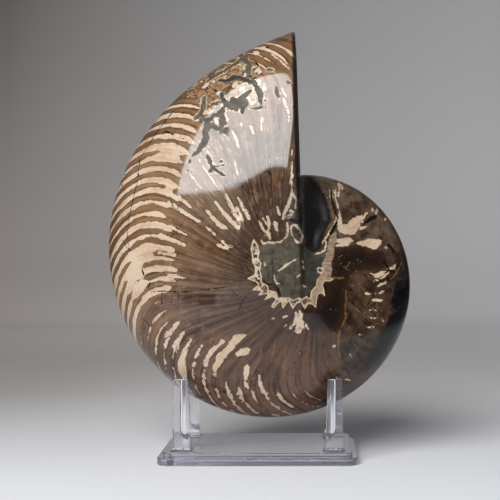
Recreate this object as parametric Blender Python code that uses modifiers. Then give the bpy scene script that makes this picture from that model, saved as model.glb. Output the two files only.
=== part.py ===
"""A polished fossil nautilus standing in a clear moulded four-post stand.

Units are metres, +Z is up and +X points from the wide, young end of the last whorl
towards the older, smaller part of the coil. The shell's mid-plane is the XZ plane. The
origin is the middle of the stand's underside, on the surface that the stand rests on.

Two pieces: nautilus_fossil, one solid of shell and rock, and display_stand, one
moulding of a stepped plate with four posts. The fossil rests between the posts.
"""

import math

import bmesh
import bpy
from mathutils import Matrix, Vector

# ---------------------------------------------------------------- fossil: the coil
COIL_AXIS_X = 0.0202            # where the coil's axis crosses the mid-plane
COIL_AXIS_Z = 0.0883
APERTURE_LEAN = math.radians(1.70)  # the cut aperture leans from upright, towards -X
WHORL_RADIUS = 0.1008           # size of the spiral that the outer edge follows
SHRINK_RATE = 0.1282            # natural log of that radius lost per radian of coil
FLARE = 0.1255                  # extra growth close to the aperture
FLARE_REACH = math.radians(24.5)
SWAY = 0.0942                   # the coil is fuller on one side than on the other
SWAY_TURN = math.radians(101.0)

# ---------------------------------------------------------------- fossil: its breadth
HALF_BREADTH = 0.0378           # half the whorl's breadth, as WHORL_RADIUS is its radius
BREADTH_SWAY = 0.15             # the breadth is fuller on the same side as the radius
SHOULDER = 0.36                 # share of the radius where the flank is broadest
EDGE_POWER = 2.20                # how full the flank is between shoulder and venter
VENTER_POWER = 2.35             # how round the venter is: 2 is an ellipse
NAVEL_FALL = 0.10               # share of the breadth lost from shoulder to navel

# ---------------------------------------------------------------- fossil: rock in the navel
NAVEL_HEIGHT = 0.0300           # rock surface over the coil's axis
NAVEL_SLOPE = 0.34              # fall of that surface for each unit along +X
NAVEL_RADIUS = 0.0125           # inside this the rock runs on across the aperture plane
NAVEL_BLEND = 0.0300            # further width over which rock gives way to shell
CREASE_DROP = 0.0034            # step down beside the aperture plane
CREASE_WIDTH = 0.0050
CREASE_FOOT = -0.0200           # the crease fades out this far below the axis

# ---------------------------------------------------------------- fossil: cut aperture
RECESS_DEPTH = 0.0036           # half the thickness of the ellipsoid that hollows the rock
RECESS_STAND_OFF = 0.0010       # its middle stands this far in front of the aperture
RECESS_HALF_BREADTH = 0.0320
RECESS_HALF_HEIGHT = 0.0300
RECESS_CENTRE = 0.0760          # from the coil's axis, along the aperture

RAYS = 72                       # columns of faces round the coil
NAVEL_RINGS = 5
FLANK_RINGS = 20

# ---------------------------------------------------------------- stand
PLATE_LENGTH = 0.0912
PLATE_DEPTH = 0.0640
FLANGE_HEIGHT = 0.0030
STEP_INSET = 0.0025             # from the flange's edge to the raised middle
PLATE_HEIGHT = 0.0052
PLATE_CORNER = 0.0050
PLATE_EDGE = 0.0006

POST_X = 0.0348                 # middle of a post's foot
POST_Y = 0.0211
POST_LENGTH = 0.0082            # foot of the post along X
POST_BREADTH = 0.0070           # foot of the post along Y
POST_TOP_LENGTH = 0.0064
POST_TOP_BREADTH = 0.0056
POST_TOP_SHIFT = 0.0004         # the top stands this much further from the middle
POST_TOP = 0.0380               # above the surface the stand rests on
POST_EDGE = 0.0005
FILLET_HEIGHT = 0.0009          # flare where a post grows out of the plate
FILLET_FLARE = 0.0010

SCOOP_RADIUS = 0.0070           # hollow down the inner corner of each post
SCOOP_BITE = 0.0036             # how far the hollow eats along each inner face
SCOOP_FOOT = 0.0150             # its round lower end is centred at this height

ROOT_OVERLAP = 0.0004           # a part is sunk this far into the one that carries it


# ================================================================ small helpers
def clear_scene():
    """Remove every object that is already in the scene."""
    for item in list(bpy.data.objects):
        bpy.data.objects.remove(item, do_unlink=True)


def new_collection(name):
    """Return a new collection, linked to the scene."""
    group = bpy.data.collections.new(name)
    bpy.context.scene.collection.children.link(group)
    return group


def new_object(name, shape, group):
    """Turn a bmesh into an object in a collection."""
    mesh = bpy.data.meshes.new(name)
    shape.to_mesh(mesh)
    shape.free()
    item = bpy.data.objects.new(name, mesh)
    group.objects.link(item)
    return item


def hide_helper(item):
    """Mark an object as a helper that only shapes others."""
    item.hide_render = True
    item.display_type = 'WIRE'


def boolean(item, helper, operation):
    """Cut or join an object with a helper by an exact Boolean."""
    step = item.modifiers.new(f"{operation.lower()} {helper.name}", 'BOOLEAN')
    step.operation = operation
    step.solver = 'EXACT'
    step.object = helper


def smooth_step(low, high, value):
    """Rise smoothly from 0 at low to 1 at high."""
    share = min(max((value - low) / (high - low), 0.0), 1.0)
    return share * share * (3.0 - 2.0 * share)


# ================================================================ fossil
def growth(turn, sway):
    """Share of its full size that the whorl has, at a turn back from the aperture."""
    flare = FLARE * math.exp(-turn / FLARE_REACH)
    return math.exp(flare - SHRINK_RATE * turn + sway * math.cos(turn - SWAY_TURN))


def edge_radius(turn):
    """Distance from the coil's axis to the venter."""
    return WHORL_RADIUS * growth(turn, SWAY)


def flank_share(share):
    """Breadth of the whorl, as a share of its largest, from navel (0) to venter (1)."""
    if share >= SHOULDER:
        reach = min((share - SHOULDER) / (1.0 - SHOULDER), 1.0)
        return (1.0 - reach ** EDGE_POWER) ** (1.0 / VENTER_POWER)
    inward = (SHOULDER - share) / SHOULDER
    return 1.0 - NAVEL_FALL * inward * inward


def navel_height(x, z):
    """Height of the rock in the navel above the mid-plane, at a place by the axis."""
    crease = smooth_step(-CREASE_WIDTH / 2, CREASE_WIDTH / 2, x + z * math.tan(APERTURE_LEAN))
    fade = smooth_step(CREASE_FOOT, 0.0, z)
    return NAVEL_HEIGHT - NAVEL_SLOPE * x - CREASE_DROP * fade * (crease - 0.5)


def flank_height(x, z, turn):
    """Height of the polished flank above the mid-plane, x and z from the coil's axis."""
    reach = math.hypot(x, z)
    breadth = HALF_BREADTH * growth(turn, BREADTH_SWAY)
    shell = breadth * flank_share(reach / edge_radius(turn))
    shell_share = smooth_step(NAVEL_RADIUS, NAVEL_RADIUS + NAVEL_BLEND, reach)
    return shell_share * shell + (1.0 - shell_share) * navel_height(x, z)


def ring_reaches(edge):
    """Distances of the rings of vertices from the coil's axis, out to the venter."""
    inner = [NAVEL_RADIUS * ring / NAVEL_RINGS for ring in range(1, NAVEL_RINGS + 1)]
    outer = []
    for ring in range(1, FLANK_RINGS + 1):
        share = math.sin(math.pi / 2 * ring / FLANK_RINGS)
        outer.append(NAVEL_RADIUS + (edge - NAVEL_RADIUS) * share)
    return inner + outer


def flank_column(shape, turn):
    """Add one column of vertices from navel to venter and return them."""
    along_x = -math.sin(turn + APERTURE_LEAN)
    along_z = math.cos(turn + APERTURE_LEAN)
    column = []
    reaches = ring_reaches(edge_radius(turn))
    for reach in reaches:
        x = reach * along_x
        z = reach * along_z
        height = 0.0 if reach == reaches[-1] else flank_height(x, z, turn)
        column.append(shape.verts.new((COIL_AXIS_X + x, -height, COIL_AXIS_Z + z)))
    return column


def shell_half():
    """Build the near half of the fossil, open at the mid-plane."""
    shape = bmesh.new()
    pole = shape.verts.new((COIL_AXIS_X, -navel_height(0.0, 0.0), COIL_AXIS_Z))
    columns = [flank_column(shape, 2 * math.pi * ray / RAYS) for ray in range(RAYS)]
    last = flank_column(shape, 2 * math.pi)
    # Inside the navel the first and last columns are the same line of rock.
    for ring in range(NAVEL_RINGS):
        shape.verts.remove(last[ring])
        last[ring] = columns[0][ring]
    columns.append(last)
    for left, right in zip(columns, columns[1:]):
        shape.faces.new((pole, left[0], right[0]))
        for ring in range(len(left) - 1):
            shape.faces.new((left[ring], left[ring + 1], right[ring + 1], right[ring]))
    cut_aperture(shape, columns[0], columns[-1])
    bmesh.ops.recalc_face_normals(shape, faces=shape.faces)
    return shape


def cut_aperture(shape, young, old):
    """Close the flat aperture between the whorl's end and the whorl inside it."""
    start = NAVEL_RINGS - 1
    shape.faces.new((old[start], old[start + 1], young[start + 1]))
    for ring in range(start + 1, len(young) - 1):
        shape.faces.new((old[ring], old[ring + 1], young[ring + 1], young[ring]))


def recess_cutter(group):
    """Build the flat ellipsoid that sets the rock back inside the aperture's rim."""
    shape = bmesh.new()
    bmesh.ops.create_uvsphere(shape, u_segments=32, v_segments=16, radius=1.0)
    size = Matrix.Diagonal((RECESS_DEPTH, RECESS_HALF_BREADTH, RECESS_HALF_HEIGHT, 1.0))
    lean = Matrix.Rotation(-APERTURE_LEAN, 4, 'Y')
    bmesh.ops.transform(shape, matrix=lean @ size, verts=shape.verts)
    item = new_object("aperture_recess", shape, group)
    along_x = RECESS_STAND_OFF - RECESS_CENTRE * math.sin(APERTURE_LEAN)
    along_z = RECESS_CENTRE * math.cos(APERTURE_LEAN)
    item.location = (COIL_AXIS_X + along_x, 0.0, COIL_AXIS_Z + along_z)
    hide_helper(item)
    return item


def build_fossil(parts, helpers):
    """Build the whole fossil: one half, its mirror image and the set-back aperture."""
    fossil = new_object("nautilus_fossil", shell_half(), parts)
    mirror = fossil.modifiers.new("other half", 'MIRROR')
    mirror.use_axis = (False, True, False)
    mirror.use_mirror_merge = True
    mirror.merge_threshold = 0.00005
    boolean(fossil, recess_cutter(helpers), 'DIFFERENCE')
    fossil.data.shade_smooth()
    fossil.data.set_sharp_from_angle(angle=math.radians(35.0))
    fossil.data.materials.append(fossil_material())
    return fossil


# ================================================================ stand
def tapered_block(name, foot, top, low, high, corner, edge, group):
    """Build a block whose top may be smaller than its foot.

    foot and top are (length, breadth), low and high its heights, corner the rounding
    of its upright edges and edge that of the rim of its top.
    """
    shape = bmesh.new()
    bmesh.ops.create_cube(shape, size=1.0)
    for vertex in shape.verts:
        size = top if vertex.co.z > 0.0 else foot
        level = high if vertex.co.z > 0.0 else low
        vertex.co = Vector((vertex.co.x * size[0], vertex.co.y * size[1], level))
    upright = [line for line in shape.edges
               if abs(line.verts[0].co.z - line.verts[1].co.z) > (high - low) / 2]
    bmesh.ops.bevel(shape, geom=upright, offset=corner, segments=4, profile=0.5,
                    affect='EDGES')
    if edge > 0.0:
        rim = [line for line in shape.edges
               if min(line.verts[0].co.z, line.verts[1].co.z) > high - 1e-6]
        bmesh.ops.bevel(shape, geom=rim, offset=edge, segments=2, profile=0.5,
                        affect='EDGES')
    return new_object(name, shape, group)


def build_post(name, side_x, side_y, group):
    """Build one tapered post with its flared root as a pair of helpers."""
    shaft = tapered_block(name, (POST_LENGTH, POST_BREADTH),
                          (POST_TOP_LENGTH, POST_TOP_BREADTH),
                          PLATE_HEIGHT - ROOT_OVERLAP, POST_TOP,
                          POST_EDGE, POST_EDGE / 2, group)
    for vertex in shaft.data.vertices:
        rise = (vertex.co.z - PLATE_HEIGHT) / (POST_TOP - PLATE_HEIGHT)
        vertex.co.x += side_x * POST_TOP_SHIFT * rise
        vertex.co.y += side_y * POST_TOP_SHIFT * rise
    root = tapered_block(f"{name}_root",
                         (POST_LENGTH + 2 * FILLET_FLARE, POST_BREADTH + 2 * FILLET_FLARE),
                         (POST_LENGTH, POST_BREADTH),
                         PLATE_HEIGHT - ROOT_OVERLAP, PLATE_HEIGHT + FILLET_HEIGHT,
                         POST_EDGE, 0.0, group)
    for item in (shaft, root):
        item.location = (side_x * POST_X, side_y * POST_Y, 0.0)
        hide_helper(item)
    return shaft, root


def scoop_cutter(name, side_x, side_y, group):
    """Build the upright round-ended cutter that hollows a post's inner corner."""
    shape = bmesh.new()
    bmesh.ops.create_uvsphere(shape, u_segments=32, v_segments=16, radius=SCOOP_RADIUS)
    bmesh.ops.rotate(shape, verts=shape.verts, cent=(0, 0, 0),
                     matrix=Matrix.Rotation(math.pi / 32, 3, 'Z'))
    for vertex in shape.verts:
        if vertex.co.z > SCOOP_RADIUS / 100:
            vertex.co.z += POST_TOP
    item = new_object(name, shape, group)
    # The circle crosses both inner faces SCOOP_BITE from the corner.
    stand_off = (math.sqrt(2 * SCOOP_RADIUS ** 2 - SCOOP_BITE ** 2) - SCOOP_BITE) / 2
    corner_x = POST_X + POST_TOP_SHIFT - POST_TOP_LENGTH / 2
    corner_y = POST_Y + POST_TOP_SHIFT - POST_TOP_BREADTH / 2
    item.location = (side_x * (corner_x - stand_off), side_y * (corner_y - stand_off),
                     SCOOP_FOOT)
    hide_helper(item)
    return item


def build_stand(parts, helpers):
    """Build the moulded stand: flange, raised middle, posts and their hollows."""
    stand = tapered_block("display_stand", (PLATE_LENGTH, PLATE_DEPTH),
                          (PLATE_LENGTH, PLATE_DEPTH), 0.0, FLANGE_HEIGHT,
                          PLATE_CORNER, PLATE_EDGE, parts)
    middle = (PLATE_LENGTH - 2 * STEP_INSET, PLATE_DEPTH - 2 * STEP_INSET)
    raised = tapered_block("raised_middle", middle, middle,
                           FLANGE_HEIGHT - ROOT_OVERLAP, PLATE_HEIGHT,
                           PLATE_CORNER - STEP_INSET, PLATE_EDGE, helpers)
    hide_helper(raised)
    boolean(stand, raised, 'UNION')
    for side_x, name_x in ((-1, "left"), (1, "right")):
        for side_y, name_y in ((-1, "front"), (1, "back")):
            name = f"post_{name_x}_{name_y}"
            for piece in build_post(name, side_x, side_y, helpers):
                boolean(stand, piece, 'UNION')
            boolean(stand, scoop_cutter(f"{name}_scoop", side_x, side_y, helpers),
                    'DIFFERENCE')
    stand.data.shade_smooth()
    stand.data.set_sharp_from_angle(angle=math.radians(30.0))
    stand.data.materials.append(stand_material())
    return stand


# ================================================================ materials
def principled(name):
    """Return a new material and its Principled BSDF."""
    material = bpy.data.materials.new(name)
    material.use_nodes = True
    return material, material.node_tree.nodes["Principled BSDF"]


def fossil_material():
    """Polished brown calcite shell."""
    material, shader = principled("polished_fossil_shell")
    shader.inputs["Base Color"].default_value = (0.165, 0.095, 0.058, 1.0)
    shader.inputs["Roughness"].default_value = 0.16
    shader.inputs["Metallic"].default_value = 0.0
    return material


def stand_material():
    """Clear moulded polystyrene."""
    material, shader = principled("clear_polystyrene")
    shader.inputs["Base Color"].default_value = (0.93, 0.93, 0.97, 1.0)
    shader.inputs["Roughness"].default_value = 0.03
    shader.inputs["Metallic"].default_value = 0.0
    shader.inputs["IOR"].default_value = 1.59
    shader.inputs["Transmission Weight"].default_value = 1.0
    return material


def main():
    """Build both pieces."""
    clear_scene()
    parts = new_collection("fossil_nautilus_on_stand")
    helpers = new_collection("helpers")
    build_fossil(parts, helpers)
    build_stand(parts, helpers)


main()
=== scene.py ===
"""A polished fossil nautilus on its clear four-post stand, dressed for a studio view.

Metres, +Z up. The shell's mid-plane is XZ, +X points from the wide young end of the last
whorl to the older part of the coil, and the origin is the middle of the stand's foot.

Two words are used all through the file. A "rib" is one growth line of the shell: they
are counted back from the cut aperture, and each one arches over the flank. The "share"
of a place on the flank is its distance from the coil's axis over that of the venter, so
it is 0 at the navel and 1 at the outer edge.
"""

import logging
import math
from collections.abc import Callable
from dataclasses import dataclass, field
from enum import Enum
from functools import partial
from types import SimpleNamespace

import bmesh
import bpy
import numpy as np
from bpy.types import Material, Mesh, NodeSocket as Socket, NodeTree, Object
from mathutils import Matrix, Vector


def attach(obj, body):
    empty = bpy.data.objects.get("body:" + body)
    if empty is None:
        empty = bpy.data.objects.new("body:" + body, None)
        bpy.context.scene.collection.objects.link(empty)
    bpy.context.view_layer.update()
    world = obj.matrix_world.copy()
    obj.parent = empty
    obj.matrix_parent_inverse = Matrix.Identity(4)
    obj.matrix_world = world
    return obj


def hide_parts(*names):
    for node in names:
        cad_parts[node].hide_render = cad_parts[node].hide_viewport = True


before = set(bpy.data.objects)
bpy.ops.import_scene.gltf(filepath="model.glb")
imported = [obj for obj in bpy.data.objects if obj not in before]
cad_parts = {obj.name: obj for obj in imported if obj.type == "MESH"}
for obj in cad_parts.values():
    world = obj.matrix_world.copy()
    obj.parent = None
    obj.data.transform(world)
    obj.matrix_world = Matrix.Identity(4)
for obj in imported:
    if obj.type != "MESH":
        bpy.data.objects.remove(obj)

LOG = logging.getLogger("nautilus")
MM = 0.001

Sockets = SimpleNamespace           # node sockets by name
Add = Callable[..., Socket]         # add_node, held to one tree
Point = tuple[float, float, float]

# Blender's names for the nodes that come up most.
MATH = "ShaderNodeMath"
VECTOR = "ShaderNodeVectorMath"
RANGE = "ShaderNodeMapRange"
MIX = "ShaderNodeMix"
NOISE = "ShaderNodeTexNoise"
CELLS = "ShaderNodeTexVoronoi"
FIELD = "ShaderNodeAttribute"
COORDINATES = "ShaderNodeTexCoord"
SPLIT = "ShaderNodeSeparateXYZ"
COMBINE = "ShaderNodeCombineXYZ"
BUMP = "ShaderNodeBump"
PRINCIPLED = "ShaderNodeBsdfPrincipled"
OUTPUT = "ShaderNodeOutputMaterial"
# What each of them calls its mode.
MODES = {MATH: "operation", VECTOR: "operation", RANGE: "interpolation_type",
         MIX: "data_type", CELLS: "feature"}


# ---- shared helpers
class Side(Enum):
    """The two flanks of the shell; the value is the sign of Y."""

    NEAR = -1
    FAR = 1


def linear(code: str) -> tuple[float, float, float, float]:
    """Turn an sRGB hex colour into linear values.

    Args:
        code: the colour, as "#rrggbb".

    Returns:
        Red, green, blue and full opacity, linear.
    """
    values = []
    for start in (1, 3, 5):
        value = int(code[start:start + 2], 16) / 255.0
        low = value / 12.92
        values.append(low if value <= 0.04045 else ((value + 0.055) / 1.055) ** 2.4)
    return (*values, 1.0)


def add_node(tree: NodeTree, kind: str, feeds: dict | tuple = (), mode: str = "",
             out: int = 0, **settings: object) -> Socket:
    """Add one node with its settings, values and links.

    Args:
        tree: the node tree that gets the node.
        kind: Blender's name for the node's type.
        feeds: a socket or a value for each input, by its place or name, or in order.
        mode: the setting that MODES names for this type.
        out: which output to return.
        settings: the node's other properties.

    Returns:
        The chosen output socket, or the node's first input where it has no outputs.
    """
    node = tree.nodes.new(kind)
    if mode:
        settings[MODES[kind]] = mode
    for name, value in settings.items():
        setattr(node, name, value)
    for place, source in (feeds if isinstance(feeds, dict) else dict(enumerate(feeds))).items():
        if isinstance(source, Socket):
            tree.links.new(source, node.inputs[place])
        else:
            node.inputs[place].default_value = source
    return node.outputs[out] if len(node.outputs) else node.inputs[0]


def new_material(name: str) -> tuple[Material, Add]:
    """Make a material with an empty node tree.

    Args:
        name: the finish's name.

    Returns:
        The material, and what adds a node to its tree.
    """
    material = bpy.data.materials.new(name)
    material.use_nodes = True
    material.node_tree.nodes.clear()
    return material, partial(add_node, material.node_tree)


def put_out(name: str, data: bpy.types.ID) -> Object:
    """Put a mesh, a light or a camera into the scene, under the given name."""
    item = bpy.data.objects.new(name, data)
    bpy.context.scene.collection.objects.link(item)
    return item


def to_mesh(name: str, shape: bmesh.types.BMesh, *finishes: Material) -> Mesh:
    """Turn a shape into a mesh with its finishes, and free it.

    Args:
        name: the mesh's name.
        shape: the shape, which is used up.
        finishes: the materials.

    Returns:
        The mesh.
    """
    mesh = bpy.data.meshes.new(name)
    shape.to_mesh(mesh)
    shape.free()
    for finish in finishes:
        mesh.materials.append(finish)
    return mesh


def melt(item: Object) -> Mesh:
    """Work the object's modifiers into its mesh.

    Args:
        item: the object, which is left with no modifier.

    Returns:
        Its new mesh.
    """
    graph, spent = bpy.context.evaluated_depsgraph_get(), item.data
    item.data = bpy.data.meshes.new_from_object(item.evaluated_get(graph), depsgraph=graph)
    item.modifiers.clear()
    bpy.data.meshes.remove(spent)
    return item.data


def smooth_step(low: float, high: float, value: np.ndarray) -> np.ndarray:
    """Rise smoothly from 0 at low to 1 at high.

    Args:
        low: where the rise starts.
        high: where it ends.
        value: the places to work out.

    Returns:
        The risen share, from 0 to 1.
    """
    share = np.clip((value - low) / (high - low), 0.0, 1.0)
    return share * share * (3.0 - 2.0 * share)


def hump(value: np.ndarray, start: float, full: float, leave: float, end: float) -> np.ndarray:
    """Rise smoothly from start to full, and fall back from leave to end."""
    return smooth_step(start, full, value) * (1 - smooth_step(leave, end, value))


# ---- the coil's rule
# How ribs are counted: by a curve in hundreds of degrees, the highest power first, and
# at both ends evenly, from an angle and the count there, so many degrees apart.
RIB_TERMS = (4.6295, -23.7942, 44.3034, -39.3618, 41.1664, -7.113)
YOUNG_RIBS = (2.8, -6.0, 2.9)
OLD_RIBS = (182.0, 36.0, 5.0)


@dataclass(frozen=True)
class Coil:
    """The rule that the shell grows by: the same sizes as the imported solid's."""

    axis_x: float = 0.0202
    axis_z: float = 0.0883
    lean: float = math.radians(1.70)
    whorl_radius: float = 0.1008
    shrink_rate: float = 0.1282
    flare: float = 0.1255
    flare_reach: float = math.radians(24.5)
    sway: float = 0.0942
    sway_turn: float = math.radians(101.0)
    half_breadth: float = 0.0378
    breadth_sway: float = 0.15
    shoulder: float = 0.36
    edge_power: float = 2.20
    venter_power: float = 2.35
    navel_fall: float = 0.10
    navel_height: float = 0.0300
    navel_slope: float = 0.34
    navel_radius: float = 0.0125
    navel_blend: float = 0.0300
    crease_drop: float = 0.0034
    crease_width: float = 0.0026
    crease_foot: float = -0.0200
    arch_share: float = 0.70        # every rib runs furthest forward here
    arch_out: float = 188.0         # degrees it falls back by, per squared share outwards
    arch_in: float = 76.0           # and inwards
    arch_young: float = 0.70        # the arch is this much flatter by the aperture

    def edge(self, turn: np.ndarray) -> np.ndarray:
        """Distance from the axis to the venter, at each turn back from the aperture."""
        growth = (self.flare * np.exp(-turn / self.flare_reach) - self.shrink_rate * turn
                  + self.sway * np.cos(turn - self.sway_turn))
        return self.whorl_radius * np.exp(growth)

    def arch(self, share: np.ndarray, rib_angle: np.ndarray) -> np.ndarray:
        """Degrees that a rib has fallen back at a share of the flank.

        Args:
            share: place across the flank.
            rib_angle: where the rib crosses its own furthest point, in degrees.

        Returns:
            The fall, in degrees.
        """
        flatter = self.arch_young + (1 - self.arch_young) * smooth_step(20, 60, rib_angle)
        beyond = share - self.arch_share
        return np.where(beyond > 0.0, self.arch_out * flatter * beyond ** 2, self.arch_in * beyond ** 2)

    def rib_angle(self, turn: np.ndarray, share: np.ndarray) -> np.ndarray:
        """Angle of the rib that passes through each place.

        Args:
            turn: turn back from the aperture, in radians.
            share: place across the flank.

        Returns:
            The angle where that rib runs furthest forward, in degrees.
        """
        degrees = np.degrees(turn)
        angle = degrees
        for _ in range(4):
            angle = degrees - self.arch(share, angle)
        return angle

    def rib_count(self, rib_angle: np.ndarray) -> np.ndarray:
        """Number of ribs from the aperture: they are closest at the young and old ends."""
        within = np.polyval(RIB_TERMS, rib_angle / 100)
        young, old = (count + (rib_angle - start) / apart
                      for start, count, apart in (YOUNG_RIBS, OLD_RIBS))
        count = np.where(rib_angle > OLD_RIBS[0], old, within)
        return np.where(rib_angle < YOUNG_RIBS[0], young, count)

    def tree(self, rings: int, navel_rings: int) -> NodeTree:
        """Build the Geometry Nodes tree that grows both flanks from the rule.

        Args:
            rings: faces from navel to venter.
            navel_rings: how many of those lie in the navel.

        Returns:
            The node tree, whose named inputs hold the rule's sizes.
        """
        tree = bpy.data.node_groups.new("planispiral_coil", "GeometryNodeTree")
        for way in ("INPUT", "OUTPUT"):
            tree.interface.new_socket("Geometry", in_out=way, socket_type="NodeSocketGeometry")
        kinds = {"Columns": "Int", "Rings": "Int", "Material": "Material",
                 **dict.fromkeys(self.__dataclass_fields__, "Float")}
        for name, kind in kinds.items():
            tree.interface.new_socket(name, in_out="INPUT", socket_type="NodeSocket" + kind)
        add = partial(add_node, tree)
        sockets = add("NodeGroupInput").node.outputs
        size = Sockets(**{socket.name: socket for socket in sockets if socket.name})

        across, inward = (add(MATH, (faces, 1), "ADD") for faces in (size.Columns, size.Rings))
        grid = add("GeometryNodeMeshGrid", (1, 1, across, inward))
        place = add("GeometryNodeInputPosition")
        along, over = (add(MATH, (end, .5), "ADD") for end in add(SPLIT, (place,)).node.outputs[:2])

        # Columns crowd together by the aperture, so that its rim can be rounded.
        crowd_span, crowd = 0.02, 0.85
        fade = add(MATH, (along, -1 / crowd_span), "MULTIPLY")
        fade = add(MATH, (fade,), "EXPONENT")
        pull = add(MATH, (fade, crowd * crowd_span, -crowd * crowd_span), "MULTIPLY_ADD")
        pulled = add(MATH, (along, pull), "ADD")
        full = 2.0 * math.pi / (1.0 - crowd * crowd_span)
        turn = add(MATH, (pulled, full), "MULTIPLY")

        # Both the radius and the breadth shrink with the turn, and sway to one side.
        fall = add(MATH, (turn, size.flare_reach), "DIVIDE")
        fall = add(MATH, (fall, -1), "MULTIPLY")
        fall = add(MATH, (fall,), "EXPONENT")
        flare = add(MATH, (fall, size.flare), "MULTIPLY")
        shrink = add(MATH, (turn, size.shrink_rate), "MULTIPLY")
        both = add(MATH, (flare, shrink), "SUBTRACT")
        offset = add(MATH, (turn, size.sway_turn), "SUBTRACT")
        cosine = add(MATH, (offset,), "COSINE")
        sizes = []
        for sway, whole in (("sway", "whorl_radius"), ("breadth_sway", "half_breadth")):
            power = add(MATH, (cosine, getattr(size, sway), both), "MULTIPLY_ADD")
            power = add(MATH, (power,), "EXPONENT")
            sizes.append(add(MATH, (power, getattr(size, whole)), "MULTIPLY"))
        edge, breadth = sizes

        # Rings: evenly over the navel, then closer and closer towards the venter.
        start = navel_rings / rings
        inner = add(RANGE, (over, 0, start, 0, size.navel_radius))
        outer = add(RANGE, (over, start, 1))
        slower = add(MATH, (1, outer), "SUBTRACT")
        squared = add(MATH, (outer, outer), "MULTIPLY")
        outer = add(MATH, (squared, slower, outer), "MULTIPLY_ADD")
        rest = add(MATH, (edge, size.navel_radius), "SUBTRACT")
        reach = add(MATH, (rest, outer, inner), "MULTIPLY_ADD")
        share = add(MATH, (reach, edge), "DIVIDE")

        # The flank's section: full to the shoulder, then round over the venter.
        past = add(RANGE, (share, size.shoulder, 1))
        past = add(MATH, (past, size.edge_power), "POWER")
        past = add(MATH, (1, past), "SUBTRACT")
        root = add(MATH, (1, size.venter_power), "DIVIDE")
        outside = add(MATH, (past, root), "POWER")
        before = add(RANGE, (share, 0, size.shoulder, 1, 0))
        before = add(MATH, (before, 2), "POWER")
        before = add(MATH, (before, size.navel_fall), "MULTIPLY")
        inside = add(MATH, (1, before), "SUBTRACT")
        flank = add(MATH, (outside, inside), "MULTIPLY")
        shell = add(MATH, (flank, breadth), "MULTIPLY")

        # Place in the mid-plane, from the coil's axis.
        bearing = add(MATH, (turn, size.lean), "ADD")
        sine = add(MATH, (bearing,), "SINE")
        level = add(MATH, (bearing,), "COSINE")
        x = add(MATH, (reach, sine), "MULTIPLY")
        x = add(MATH, (x, -1), "MULTIPLY")
        z = add(MATH, (reach, level), "MULTIPLY")

        # Rock in the navel, with its step beside the aperture.
        tilt = add(MATH, (size.lean,), "TANGENT")
        beside = add(MATH, (z, tilt, x), "MULTIPLY_ADD")
        half = add(MATH, (size.crease_width, .5), "MULTIPLY")
        minus = add(MATH, (half, -1), "MULTIPLY")
        crease = add(RANGE, (beside, minus, half, -.5, .5), "SMOOTHSTEP")
        faded = add(RANGE, (z, size.crease_foot, 0), "SMOOTHSTEP")
        step = add(MATH, (crease, faded), "MULTIPLY")
        step = add(MATH, (step, size.crease_drop), "MULTIPLY")
        slope = add(MATH, (x, size.navel_slope), "MULTIPLY")
        lowered = add(MATH, (slope, step), "ADD")
        rock = add(MATH, (size.navel_height, lowered), "SUBTRACT")
        blend_end = add(MATH, (size.navel_radius, size.navel_blend), "ADD")
        blend = add(RANGE, (reach, size.navel_radius, blend_end), "SMOOTHSTEP")
        height = add(MIX, {0: blend, 2: rock, 3: shell})
        closed = add(MATH, (over, .9999), "LESS_THAN")
        height = add(MATH, (height, closed), "MULTIPLY")

        x = add(MATH, (x, size.axis_x), "ADD")
        z = add(MATH, (z, size.axis_z), "ADD")
        y = add(MATH, (height, -1), "MULTIPLY")
        point = add(COMBINE, (x, y, z))
        shape = grid
        for name, value in (("turn", turn), ("share", share)):
            shape = add("GeometryNodeStoreNamedAttribute",
                        {"Geometry": shape, "Name": name, "Value": value})
        near = add("GeometryNodeSetPosition", {"Geometry": shape, "Position": point})
        mirrored = add("GeometryNodeTransform", {"Geometry": near, "Scale": (1, -1, 1)})
        far = add("GeometryNodeFlipFaces", (mirrored,))
        joined = add("GeometryNodeJoinGeometry", (far,))
        tree.links.new(near, joined.node.inputs[0])
        merged = add("GeometryNodeMergeByDistance", {"Geometry": joined, "Distance": .01 * MM})
        real = add("GeometryNodeRealizeInstances", (merged,))
        dressed = add("GeometryNodeSetMaterial", {"Geometry": real, "Material": size.Material})
        add("NodeGroupOutput", (dressed,))
        return tree


# ---- the natural markings
Stroke = tuple[Point, ...]
Outline = tuple[tuple[float, float], ...]


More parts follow.
